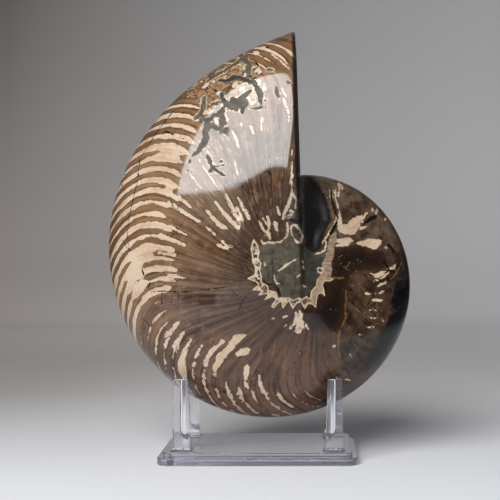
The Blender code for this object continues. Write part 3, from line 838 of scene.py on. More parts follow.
def along_ribs(coil: Coil, seed: int, count: int, angles: tuple[float, float],
               shares: tuple[float, float], half: float) -> tuple[Stroke, ...]:
    """Scatter short strokes that follow the ribs.

    Args:
        coil: the shell's rule.
        seed: picks the scatter.
        count: how many.
        angles: first and last rib angle, in degrees.
        shares: lowest and highest share.
        half: typical half width, in millimetres.

    Returns:
        The strokes.
    """
    dice = np.random.default_rng(seed)
    strokes = []
    for _ in range(count):
        angle = dice.uniform(*angles)
        start, length = dice.uniform(*shares), dice.uniform(0.03, 0.13)
        wide = half * dice.uniform(0.5, 1.5)
        points = []
        for part in (0.0, 0.5, 1.0):
            share = start + length * part
            bent = angle + dice.uniform(-0.6, 0.6)
            turn = math.radians(bent + float(coil.arch(np.array(share), np.array(bent))))
            reach = share * float(coil.edge(np.array(turn))) / MM
            points.append((-reach * math.sin(turn + coil.lean), reach * math.cos(turn + coil.lean), wide
                           * (1.0 if part == 0.5 else 0.55)))
        strokes.append(tuple(points))
    return tuple(strokes)


def ring(coil: Coil, seed: int, low: float, high: float) -> tuple[Outline, Outline]:
    """Draw the navel's filling and its toothed edge.

    Args:
        coil: the shell's rule.
        seed: picks the teeth.
        low: mean reach of the filling, in millimetres.
        high: mean reach of the edge's points.

    Returns:
        The filling's outline, and the outline of the edge of shell round it.
    """
    dice = np.random.default_rng(seed)
    inner, outer = [], []
    for step in range(48):
        turn = 2.0 * math.pi * step / 48 + coil.lean
        reach = low * (1.0 + 0.06 * math.sin(3.0 * turn) + dice.uniform(-0.03, 0.03))
        point = high if step % 2 else low + 0.35 * (high - low)
        point *= dice.uniform(0.95, 1.06)
        inner.append((-reach * math.sin(turn), reach * math.cos(turn)))
        outer.append((-point * math.sin(turn), point * math.cos(turn)))
    band = tuple(outer) + (outer[0], inner[0]) + tuple(reversed(inner))
    return tuple(inner), band


FAR_RING = ring(Coil(), 4, 17.5, 23.5)
FAR_MARKS = Markings(
    flecks=(along_ribs(Coil(), 11, 22, (8, 60), (0.32, 0.60), 0.7)
            + along_ribs(Coil(), 12, 16, (60, 150), (0.50, 0.72), 0.9)
            + along_ribs(Coil(), 13, 14, (150, 185), (0.30, 0.75), 1.1)
            + along_ribs(Coil(), 14, 30, (205, 290), (0.45, 0.85), 0.9)
            + (((18, 17, 2.4), (24, 24, 4.2), (30, 29, 2.6)),
               ((30, 12, 1.6), (38, 13, 3.4), (45, 10, 1.8)))),
    rusts=along_ribs(Coil(), 21, 26, (5, 330), (0.35, 0.75), 0.6),
    holes=(along_ribs(Coil(), 31, 12, (5, 330), (0.40, 0.85), 0.4)
           + (((-5, 22, .9), (0, 22, 1.0)), ((-38, 66, .8), (-34, 67, 1.1), (-30, 65, .7)))),
    veins=(((-50, 74, 1.0), (-44, 68, 1.5), (-40, 66, 1.9), (-36, 58, 1.2), (-37, 50, .8)),
           ((-40, 66, 1.3), (-33, 68, 1.1), (-27, 64, .8)),
           ((-36, 58, 1.2), (-29, 57, 1.8), (-24, 52, 1.0), (-22, 45, .5)),
           ((-58, -38, .6), (-50, -34, 1.2), (-45, -27, .9), (-44, -20, .5)),
           ((-44, -27, .8), (-38, -29, .6))),
    rock=FAR_RING[0],
    border=FAR_RING[1],
    trough=((0.3, 24), (0.3, 44), (5, 43), (10, 38), (12, 30), (12, 22), (9, 16), (3, 17)),
    amber=((14, 6), (26, 8), (34, 2), (30, -10), (22, -24), (8, -28), (0, -26), (3, -16),
           (12, -10)),
    slate=((40, -8), (48, -10), (48, -24), (42, -36), (34, -42), (30, -38), (36, -26),
           (38, -16)),
    rubble=(-38.0, 72.0, 12.0, 9.0),
    blots=((40, .86, 5.0, .06), (76, .86, 6.0, .06), (98, .82, 5.5, .08),
           (118, .88, 3.0, .05), (148, .88, 3.0, .05)),
)


# ---- finishes
def ragged(add: Add, depth: Socket, noise: Socket, by: float, low: float, high: float,
           most: float = 1.0) -> Socket:
    """Turn a field into a mask whose edge wanders with a noise.

    Args:
        add: adds a node to the material.
        depth: the field.
        noise: the noise.
        by: how far the noise moves the edge, in the field's unit.
        low: where the mask starts.
        high: where it reaches its most.
        most: the most.

    Returns:
        The mask.
    """
    bent = add(MATH, (noise, by, depth), "MULTIPLY_ADD")
    return add(RANGE, (bent, low, high, 0, most))


def coat(add: Add, colour: Socket | str, *coats: tuple[Socket, Socket | str]) -> Socket:
    """Lay coats of colour over a ground.

    Args:
        add: adds a node to the material.
        colour: the ground, a hex code or a socket.
        coats: the mask and the colour of each coat, the lowest first.

    Returns:
        The colour on top.
    """
    for mask, over in coats:
        ends = {place: linear(end) if isinstance(end, str) else end
                for place, end in ((6, colour), (7, over))}
        colour = add(MIX, {0: mask, **ends}, "RGBA", out=2)
    return colour


def bend(add: Add, place: Socket, size: float, by: float) -> Socket:
    """Bend coordinates with a slow noise.

    Args:
        add: adds a node to the material.
        place: the coordinates.
        size: how broad the noise is, in millimetres.
        by: its strength, in millimetres.

    Returns:
        The bent coordinates.
    """
    wander = add(NOISE, {"Vector": place, "Scale": 1 / (size * MM), "Detail": 3}, out=1)
    wander = add(VECTOR, {0: wander, "Scale": by * MM}, "SCALE")
    return add(VECTOR, (place, wander), "ADD")


@dataclass(frozen=True)
class PolishedShell:
    """Fossil shell: calcite and aragonite ground back and polished to a wet gloss.

    The young whorl keeps its cream and brown layers, ground through in bands; the old
    whorl shows dark, see-through crystal under them. Rock that filled the shell shows
    where it is ground right through, grey-green and duller than the shell.
    """

    cream: str = "#c8b39d"
    cream_deep: str = "#b1957a"
    tan: str = "#957353"
    tan_deep: str = "#4d341f"
    ochre: str = "#875a34"
    plum: str = "#7c6453"
    plum_low: str = "#6f503d"
    plum_deep: str = "#341f10"
    plum_low_deep: str = "#200b03"
    streak: str = "#b39a82"
    vinous: str = "#6b4331"
    rust: str = "#7b5530"
    amber: str = "#2b1708"
    amber_deep: str = "#0b0401"
    umber: str = "#6b5746"
    umber_deep: str = "#342112"
    umber_low: str = "#4f3a2a"
    umber_low_deep: str = "#120701"
    rock: str = "#5b5443"
    rock_deep: str = "#211c13"
    grain: str = "#aa9f8b"
    rim: str = "#bfa88c"
    bone: str = "#a08a75"
    bone_deep: str = "#6d5847"
    black: str = "#060504"
    slate: str = "#070504"
    ior: float = 1.56               # calcite is 1.49 to 1.66, aragonite 1.53 to 1.69
    roughness: float = 0.07         # polished stone
    rock_roughness: float = 0.62    # too coarse in the grain to take the polish

    def read_fields(self, add: Add) -> Sockets:
        """Read the plain fields, and join the lanes of each set of strokes.

        Args:
            add: adds a node to the material.

        Returns:
            The sockets by name; a set of strokes gives millimetres inside them.
        """
        value = {}
        for name in ("rib", "share", "side", "angle", "cream", "warm", "old", "edge", "back",
                     "rock", "border", "trough", "amber", "slate", "shade", "dusk", "bone",
                     "rubble", "inward", "worn", "lift"):
            value[name] = add(FIELD, out=2, attribute_name=name)
        for lanes in (FLECKS, RUSTS, HOLES, VEINS):
            inside = None
            for place in range(lanes.count):
                off, wide = (add(FIELD, out=2, attribute_name=f"{lanes.name}_{part}{place}")
                             for part in ("off", "in"))
                off = add(MATH, (off,), "ABSOLUTE")
                depth = add(MATH, (wide, off), "SUBTRACT")
                inside = depth if inside is None else add(MATH, (inside, depth), "MAXIMUM")
            value[lanes.name] = inside
        return Sockets(**value)

    def make_noises(self, add: Add, value: Sockets) -> Sockets:
        """Make the stone's noises, each from about -0.5 to 0.5.

        Args:
            add: adds a node to the material.
            value: the fields.

        Returns:
            Clouds from 20 mm down to 0.9 mm, and streaks that run along the ribs.
        """
        place = add(COORDINATES, out=3)
        kinds = [(name, place, 1.0 / (size * MM), detail, rough) for name, size, detail,
                 rough in (("cloud", 20.0, 3.0, 0.55), ("edge", 4.0, 4.0, 0.6), ("torn", 2.2, 4.0, 0.75),
                           ("grain", 0.9, 2.0, 0.6))]
        # Broad streaks, hairlines, long lines, and the wander of a band's width.
        for name, across, along, detail in (
                ("streak", 0.9, 2.6, 4.0), ("hair", 4.2, 3.5, 4.0), ("line", 1.9, 1.5, 2.0),
                ("width", 0.6, 9.0, 2.0)):
            over = add(MATH, (value.rib, across), "MULTIPLY")
            up = add(MATH, (value.share, along), "MULTIPLY")
            lane = add(COMBINE, (over, up, value.side))
            kinds.append((name, lane, 1.0, detail, 0.62))
        noise = {"place": place}
        for name, vector, scale, detail, rough in kinds:
            raw = add(NOISE, {"Vector": vector, "Scale": scale, "Detail": detail, "Roughness": rough})
            noise[name] = add(MATH, (raw, .5), "SUBTRACT")
        return Sockets(**noise)

    def find_pale(self, add: Add, value: Sockets, noise: Sockets) -> Sockets:
        """Find where the cream layer shows: bands, flecks and loose specks.

        Args:
            add: adds a node to the material.
            value: the fields.
            noise: the noises.

        Returns:
            Masks for the bands, their stained edges, the flecks and all the cream.
        """
        # A rib is cream within a width of its own middle that differs from rib to rib.
        swing = add(MATH, (value.rib, .5), "PINGPONG")
        swing = add(MATH, (swing, 2), "MULTIPLY")
        number = add(MATH, (value.rib, .5), "ADD")
        number = add(MATH, (number,), "FLOOR")
        number = add(MATH, (value.side, 50, number), "MULTIPLY_ADD")
        luck = add("ShaderNodeTexWhiteNoise", {"W": number}, noise_dimensions="1D")
        wide = add(MATH, (luck, .26, -.19), "MULTIPLY_ADD")
        wide = add(MATH, (wide, value.cream), "ADD")
        for kind, by in ((noise.width, 1.3), (noise.torn, .5), (noise.hair, .35),
                         (noise.edge, value.worn)):
            wide = add(MATH, (kind, by, wide), "MULTIPLY_ADD")
        cut = add(MATH, (wide, swing), "SUBTRACT")
        allowed = add(RANGE, (value.cream, .06, .14))
        bands, stained = (add(MATH, (add(RANGE, (cut, low, high)), allowed), "MULTIPLY")
                          for low, high in ((-.03, .03), (-.2, -.02)))
        torn = add(MATH, (noise.hair, 1.8, value.fleck), "MULTIPLY_ADD")
        flecks = ragged(add, torn, noise.torn, 2.6, -.1, .06)
        fringe = ragged(add, torn, noise.torn, 3.4, -.8, -.1, .6)
        # Loose specks of shell, about 0.4 mm wide, gather on the old whorl.
        where = add(RANGE, (value.angle, 120, 180, 0, .065))
        where = add(MATH, (noise.cloud, .35, where), "MULTIPLY_ADD")
        speck = ragged(add, where, noise.grain, 1, .29, .32)
        loose = add(MATH, (flecks, speck), "MAXIMUM")
        return Sockets(swing=swing, stained=stained, flecks=flecks, fringe=fringe,
                       pale=add(MATH, (bands, loose), "MAXIMUM"))

    def paint_shell(self, add: Add, value: Sockets, noise: Sockets, found: Sockets) -> Socket:
        """Colour the shell's own layers.

        Args:
            add: adds a node to the material.
            value: the fields.
            noise: the noises.
            found: where the cream shows; the cream's colour is added to it.

        Returns:
            The shell's colour, before the rock.
        """
        # Growth lines: a slow swell from rib to rib, with streaks and hairlines over it.
        flow = add(MATH, (found.swing, .2, -.1), "MULTIPLY_ADD")
        for kind, by in ((noise.streak, 1.2), (noise.hair, 1.0), (noise.edge, .3)):
            flow = add(MATH, (kind, by, flow), "MULTIPLY_ADD")
        tone = add(RANGE, (flow, -.3, .3))
        tan = coat(add, self.tan_deep, (tone, self.tan))
        warmth = add(MATH, (noise.cloud, .6), "MULTIPLY")
        tan = coat(add, tan, (ragged(add, warmth, noise.edge, .9, .05, .22, .6), self.ochre))
        high = coat(add, self.plum_deep, (tone, self.plum))
        low = coat(add, self.plum_low_deep, (tone, self.plum_low))
        plum = coat(add, high, (value.dusk, low))
        # Thin pale lines in the upper flank and wine-red ones low down, 0.5 mm wide.
        line = add(MATH, (noise.line,), "ABSOLUTE")
        line = add(RANGE, (line, .01, .034, 1, 0))
        some = add(RANGE, (noise.edge, -.02, .1))
        line = add(MATH, (line, some), "MULTIPLY")
        stripe = coat(add, self.streak, (value.dusk, self.vinous))
        line = add(MATH, (line, .75), "MULTIPLY")
        plum = coat(add, plum, (line, stripe), (value.inward, self.plum_low_deep),
                    (value.lift, self.streak))
        # The venter's darkening is partly painted shade, strongest on the underside.
        colour = coat(add, plum, (value.warm, tan), (value.edge, self.plum_low_deep))

        # The old whorl: cloudy crystal, from umber to nearly black.
        murk = add(MATH, (noise.edge, 1.3, noise.cloud), "MULTIPLY_ADD")
        murk = ragged(add, murk, noise.streak, .9, -.26, .26)
        high = coat(add, self.umber_deep, (murk, self.umber))
        low = coat(add, self.umber_low_deep, (murk, self.umber_low))
        umber = coat(add, high, (value.dusk, low))
        clear = ragged(add, value.amber, noise.edge, 7, -1.2, .6, .94)
        deep = ragged(add, value.amber, noise.edge, 9, 0, 5)
        amber = coat(add, self.amber, (deep, self.amber_deep))
        ivory = add(MATH, (noise.hair, .9, noise.cloud), "MULTIPLY_ADD")
        ivory = ragged(add, ivory, noise.torn, .8, -.26, .1)
        found.ivory = coat(add, self.cream_deep, (ivory, self.cream))
        dark = add(MATH, (found.stained, .55), "MULTIPLY")
        return coat(add, colour, (value.old, umber), (clear, amber),
                    (ragged(add, value.slate, noise.edge, 6, -.4, .4), self.slate),
                    (ragged(add, value.rust, noise.torn, 2.4, -.3, .3, .75), self.rust),
                    (dark, self.tan_deep), (found.fringe, self.tan_deep), (found.pale, found.ivory))

    def paint_rubble(self, add: Add, colour: Socket, value: Sockets, noise: Sockets) -> Socket:
        """Break the shell into cemented chips about 3 mm across, beside the veins.

        Args:
            add: adds a node to the material.
            colour: the colour so far.
            value: the fields.
            noise: the noises.

        Returns:
            The colour with the chips.
        """
        feeds = {"Vector": bend(add, noise.place, 5.0, 5.0), "Scale": 1 / (3.4 * MM)}
        chip = add(CELLS, feeds, out=1)
        chip = add("ShaderNodeSeparateColor", (chip,))
        gap = add(CELLS, feeds, "DISTANCE_TO_EDGE")
        brown = ragged(add, chip, noise.torn, .8, 0, .3)
        pale, olive = (add(RANGE, (chip, low, high)) for low, high in ((.66, .74), (.88, .92)))
        seam = ragged(add, gap, noise.torn, -.4, .09, .03, .8)
        chips = coat(add, self.tan_deep, (brown, self.tan), (pale, self.cream),
                     (olive, self.rock), (seam, self.rock_deep))
        inside = ragged(add, value.rubble, noise.edge, 1.2, -.02, .04)
        inside = add(MATH, (inside, .9), "MULTIPLY")
        return coat(add, colour, (inside, chips))

    def build(self) -> Material:
        """Make the material.

        Returns:
            The shell's material, which reads the fields stored on the mesh.
        """
        material, add = new_material("polished_fossil_shell")
        value = self.read_fields(add)
        noise = self.make_noises(add, value)
        found = self.find_pale(add, value, noise)
        colour = self.paint_shell(add, value, noise, found)
        colour = self.paint_rubble(add, colour, value, noise)

        # Hair cracks about 0.2 mm wide, between plates about 16 mm across.
        plates = add(CELLS, {"Vector": bend(add, noise.place, 7, 9),
                             "Scale": 1 / (16 * MM)}, "DISTANCE_TO_EDGE")
        crack = add(RANGE, (plates, .007, .013, .85, 0))
        some = add(RANGE, (noise.cloud, 0, .1))
        crack = add(MATH, (crack, some), "MULTIPLY")

        # Rock, clouded and grained, in the veins and the navel; a thin rim of shell
        # shows along some of the veins.
        veined = add(MATH, (noise.edge, 3, value.vein), "MULTIPLY_ADD")
        vein = ragged(add, veined, noise.torn, 3, -.36, -.2)
        lip = ragged(add, veined, noise.torn, 3, -.8, -.7)
        some = ragged(add, noise.edge, noise.cloud, -1, -.04, .06, .9)
        lip = add(MATH, (lip, some), "MULTIPLY")
        navel = ragged(add, value.rock, noise.torn, 1.6, -.1, .1)
        stone = add(MATH, (vein, navel), "MAXIMUM")
        mottle = ragged(add, noise.edge, noise.torn, .9, -.17, .2)
        grit = ragged(add, noise.grain, noise.torn, .3, .24, .3, .85)
        gritty = coat(add, self.rock_deep, (mottle, self.rock), (grit, self.grain))
        # Painted shadow: the rock by the crease darkens nearly to black.
        shade = ragged(add, value.shade, noise.edge, .5, 0, 1, .96)
        gritty = coat(add, gritty, (shade, self.black))

        # The black hollow, and the toothed edge of shell round the navel.
        sunk = ragged(add, value.trough, noise.torn, 2.6, -.5, .7)
        pitch = coat(add, self.black, (ragged(add, noise.edge, noise.streak, .8, .06,
                                              .34, .7), self.umber_deep))
        edged = add(MATH, (noise.torn, 1, value.border), "MULTIPLY_ADD")
        border = add(RANGE, (edged, -.12, .04))
        inner = ragged(add, edged, noise.edge, 1.6, .35, .6)
        mottled = coat(add, gritty, (ragged(add, noise.torn, noise.edge, 1, 0, .06), found.ivory))
        bone = ragged(add, noise.torn, noise.streak, .8, -.24, .12)
        bone = coat(add, self.bone_deep, (bone, self.bone))
        rimless = add(RANGE, (value.bone, 1.2, 1.6))
        filling = coat(add, mottled, (value.bone, bone))
        banded = coat(add, self.rim, (inner, filling), (rimless, bone))
        over = add(MATH, (stone, sunk), "MAXIMUM")
        over = add(MATH, (over, found.flecks), "MULTIPLY")
        hole = ragged(add, value.hole, noise.torn, 2, -.15, .15)
        lip_dark = add(RANGE, (value.back, 1.2, 2, .9, 0))
        hole = add(MATH, (hole, lip_dark), "MAXIMUM")
        pit = ragged(add, noise.grain, noise.cloud, .5, -.3, -.34, .8)
        colour = coat(add, colour, (pit, self.amber_deep), (crack, self.amber_deep),
                      (lip, self.rim), (stone, gritty), (sunk, pitch), (border, banded),
                      (over, found.ivory), (hole, self.black))

        dull = add(MATH, (sunk, .4), "MULTIPLY")
        dull = add(MATH, (dull, stone), "MAXIMUM")
        rough = add(MIX, {0: dull, 2: self.roughness, 3: self.rock_roughness})
        relief = add(MATH, (noise.grain, stone), "MULTIPLY")
        relief = add(MATH, (noise.hair, .06, relief), "MULTIPLY_ADD")
        bump = add(BUMP, {"Strength": .4, "Distance": .1 * MM, "Height": relief})
        shader = add(PRINCIPLED, {"Base Color": colour, "Roughness": rough, "IOR": self.ior,
                                  "Metallic": 0, "Normal": bump})
        add(OUTPUT, (shader,))
        return material


@dataclass(frozen=True)
class SawnRock:
    """The rock that fills the aperture: fine grey-green mudstone, sawn and left matt."""

    pale: str = "#7d7a69"
    dark: str = "#35342c"
    shell: str = "#c9b394"
    shell_dark: str = "#3a2a1e"
    roughness: float = 0.55
    rim_width: float = 1.3          # millimetres of shell wall seen round the rock

    def build(self) -> Material:
        """Make the material.

        Returns:
            The aperture's material, which reads the stored gap to the rim.
        """
        material, add = new_material("sawn_mudstone")
        place = add(COORDINATES, out=3)
        gap = add(FIELD, out=2, attribute_name="gap")
        cloud = add(NOISE, {"Vector": place, "Scale": 1 / (6 * MM), "Detail": 5, "Roughness": .65})
        grain = add(NOISE, {"Vector": place, "Scale": 1 / (.8 * MM), "Detail": 2})
        spread = add(RANGE, (cloud, .35, .65))
        colour = coat(add, self.dark, (spread, self.pale))
        speck = add(RANGE, (grain, .66, .74))
        colour = coat(add, colour, (speck, self.shell))
        torn = add(MATH, (cloud, -1.6, gap), "MULTIPLY_ADD")
        rim = add(RANGE, (torn, self.rim_width - .9, self.rim_width - .7, 1, 0))
        layers = add(RANGE, (torn, -.6, .1))
        wall = coat(add, self.shell_dark, (layers, self.shell))
        colour = coat(add, colour, (rim, wall))
        bump = add(BUMP, {"Strength": .5, "Distance": .3 * MM, "Height": cloud})
        shader = add(PRINCIPLED, {"Base Color": colour, "Roughness": self.roughness,
                                  "Metallic": 0, "Normal": bump})
        add(OUTPUT, (shader,))
        return material


@dataclass(frozen=True)
class ClearPolystyrene:
    """Injection-moulded crystal polystyrene: water-clear, with a faint violet cast."""

    tint: str = "#fcfcfe"
    absorbed: str = "#c6beff"       # violet dye, a trace, against yellowing
    absorption: float = 8.0         # per metre
    clear: float = 0.95             # the rest scatters as haze, over the scuffed plate
    ior: float = 1.59
    roughness: float = 0.012

    def build(self) -> Material:
        """Make the material.

        Returns:
            The stand's material.
        """
        material, add = new_material("clear_polystyrene")
        place = add(COORDINATES, out=3)
        # Handling leaves faint greasy patches, about 12 mm across, on a moulding this clear.
        smear = add(NOISE, {"Vector": place, "Scale": 1 / (12 * MM), "Detail": 4})
        rough = add(RANGE, (smear, .4, .7, self.roughness, 2.5 * self.roughness))
        # The flow of the melt leaves waves far too shallow to see but for their sparkle.
        flow = add(NOISE, {"Vector": place, "Scale": 1 / (9 * MM), "Detail": 1})
        bump = add(BUMP, {"Strength": .1, "Distance": .1 * MM, "Height": flow})
        height = add(SPLIT, (place,), out=2)
        clear = add(RANGE, (height, 9 * MM, 14 * MM, self.clear, 1))
        shader = add(PRINCIPLED, {"Base Color": linear(self.tint), "Roughness": rough, "IOR": self.ior,
                                  "Transmission Weight": clear, "Metallic": 0, "Normal": bump})
        dye = add("ShaderNodeVolumeAbsorption", {"Color": linear(self.absorbed),
                                                 "Density": self.absorption})
        add(OUTPUT, (shader, dye))
        return material


@dataclass(frozen=True)
class StudioPaper:
    """Matt paper, pale where the object stands; painted shade greys it behind and to the left and darkens
    its near end and sides.
    """

    pale: str = "#e8eaee"
    # Painted shade: darker and warmer to the left, and greyer up the wall.
    near_left: str = "#b8b1ac"
    near_right: str = "#e6e6e8"
    high_left: str = "#7b7873"
    high_right: str = "#d6d6d7"
    fade_start: float = -0.11       # metres behind the stand
    fade_end: float = 0.30
    span: float = 0.45              # from the left colours to the right ones, each way
    top: float = 0.50
    high_power: float = 0.70        # below 1 the high colours pale sooner from left to right
    # Painted shade: the near end and the sides of the paper are coloured dark.
    shaded: str = "#6c6c6f"         # the near end of the paper lies in the dark
    shade_start: float = -0.200     # metres; the polish mirrors where it ends
    shade_end: float = -0.226
    dark_left: float = -0.19        # and so do its sides, which widen with the depth
    dark_right: float = 0.18
    dark_span: float = 0.10
    widen_left: float = -0.264
    widen_right: float = 0.159
    # Painted light and shade in soft bands over the depth: at the left, at the right, start, peak and
    # end.
    tones: tuple[tuple[float, ...], ...] = ((-0.20, 0.0, -0.12, 0.25, 0.75),
                                            (0.40, 0.20, 0.45, 0.97, 1.19), (0.0, 0.12, 0.04, 0.20, 0.44))

    def build(self) -> Material:
        """Make the material.

        Returns:
            The sweep's material.
        """
        material, add = new_material("graduated_paper")
        place = add(COORDINATES, out=3)
        x, y, z = add(SPLIT, (place,)).node.outputs
        # Painted shade: the paper greys towards the back and up the wall, darker and warmer at the left.
        across = add(RANGE, (x, -self.span, self.span))
        climb = add(RANGE, (z, .1, self.top))
        back = add(RANGE, (y, self.fade_start, self.fade_end), "SMOOTHSTEP")
        low = coat(add, self.near_left, (across, self.near_right))
        high = add(MATH, (across, self.high_power), "POWER")
        high = coat(add, self.high_left, (high, self.high_right))
        grey = coat(add, low, (climb, high))
        colour = coat(add, self.pale, (back, grey))
        # Painted light and shade: soft bands lift or dim the paper's tone.
        tone: Socket | float = 1.0
        for at_left, at_right, start, peak, end in self.tones:
            size = add(RANGE, (x, -.2, 0, at_left, at_right), "SMOOTHSTEP")
            rise = add(RANGE, (y, start, peak), "SMOOTHSTEP")
            fall = add(RANGE, {0: y, 1: end, 2: peak, 4: size}, "SMOOTHSTEP")
            tone = add(MATH, (rise, fall, tone), "MULTIPLY_ADD")
        colour = add(VECTOR, {0: colour, 3: tone}, "SCALE")
        # Painted shade: the near end and the sides of the paper are coloured dark, and the polish mirrors
        # it.
        near = add(RANGE, (y, self.shade_end, self.shade_start), "SMOOTHSTEP")
        sides = []
        for end, turn, widen in ((self.dark_left, -1, self.widen_left),
                                 (self.dark_right, 1, self.widen_right)):
            slanted = add(MATH, (y, -widen, x), "MULTIPLY_ADD")
            sides.append(add(RANGE, (slanted, end, end + turn * self.dark_span), "SMOOTHSTEP"))
        side = add(MATH, tuple(sides), "MAXIMUM")
        near = add(MATH, (near, side), "SUBTRACT", use_clamp=True)
        colour = coat(add, self.shaded, (near, colour))
        # Paper fibre, drawn ten times coarser than it is so that it shows at all.
        fibre = add(NOISE, {"Vector": place, "Scale": 1 / (2 * MM), "Detail": 2})
        bump = add(BUMP, {"Strength": .03, "Distance": .1 * MM, "Height": fibre})
        shader = add(PRINCIPLED, {"Base Color": colour, "Roughness": .6, "Metallic": 0,
                                  "Specular IOR Level": .2, "Normal": bump})
        add(OUTPUT, (shader,))
        return material


@dataclass(frozen=True)
class BlackFelt:
    """Black wool felt: it gives back almost no light, and has no shine."""

    dark: str = "#0d0d0e"
    pale: str = "#1a1a1c"

    def build(self) -> Material:
        """Make the material.

        Returns:
            The flag's material.
        """
        material, add = new_material("black_felt")
        place = add(COORDINATES, out=3)
        nap = add(NOISE, {"Vector": place, "Scale": 1 / (2 * MM), "Detail": 3})
        colour = coat(add, self.dark, (nap, self.pale))
        shader = add(PRINCIPLED, {"Base Color": colour, "Roughness": .95, "Metallic": 0,
                                  "Specular IOR Level": .1})
        add(OUTPUT, (shader,))
        return material


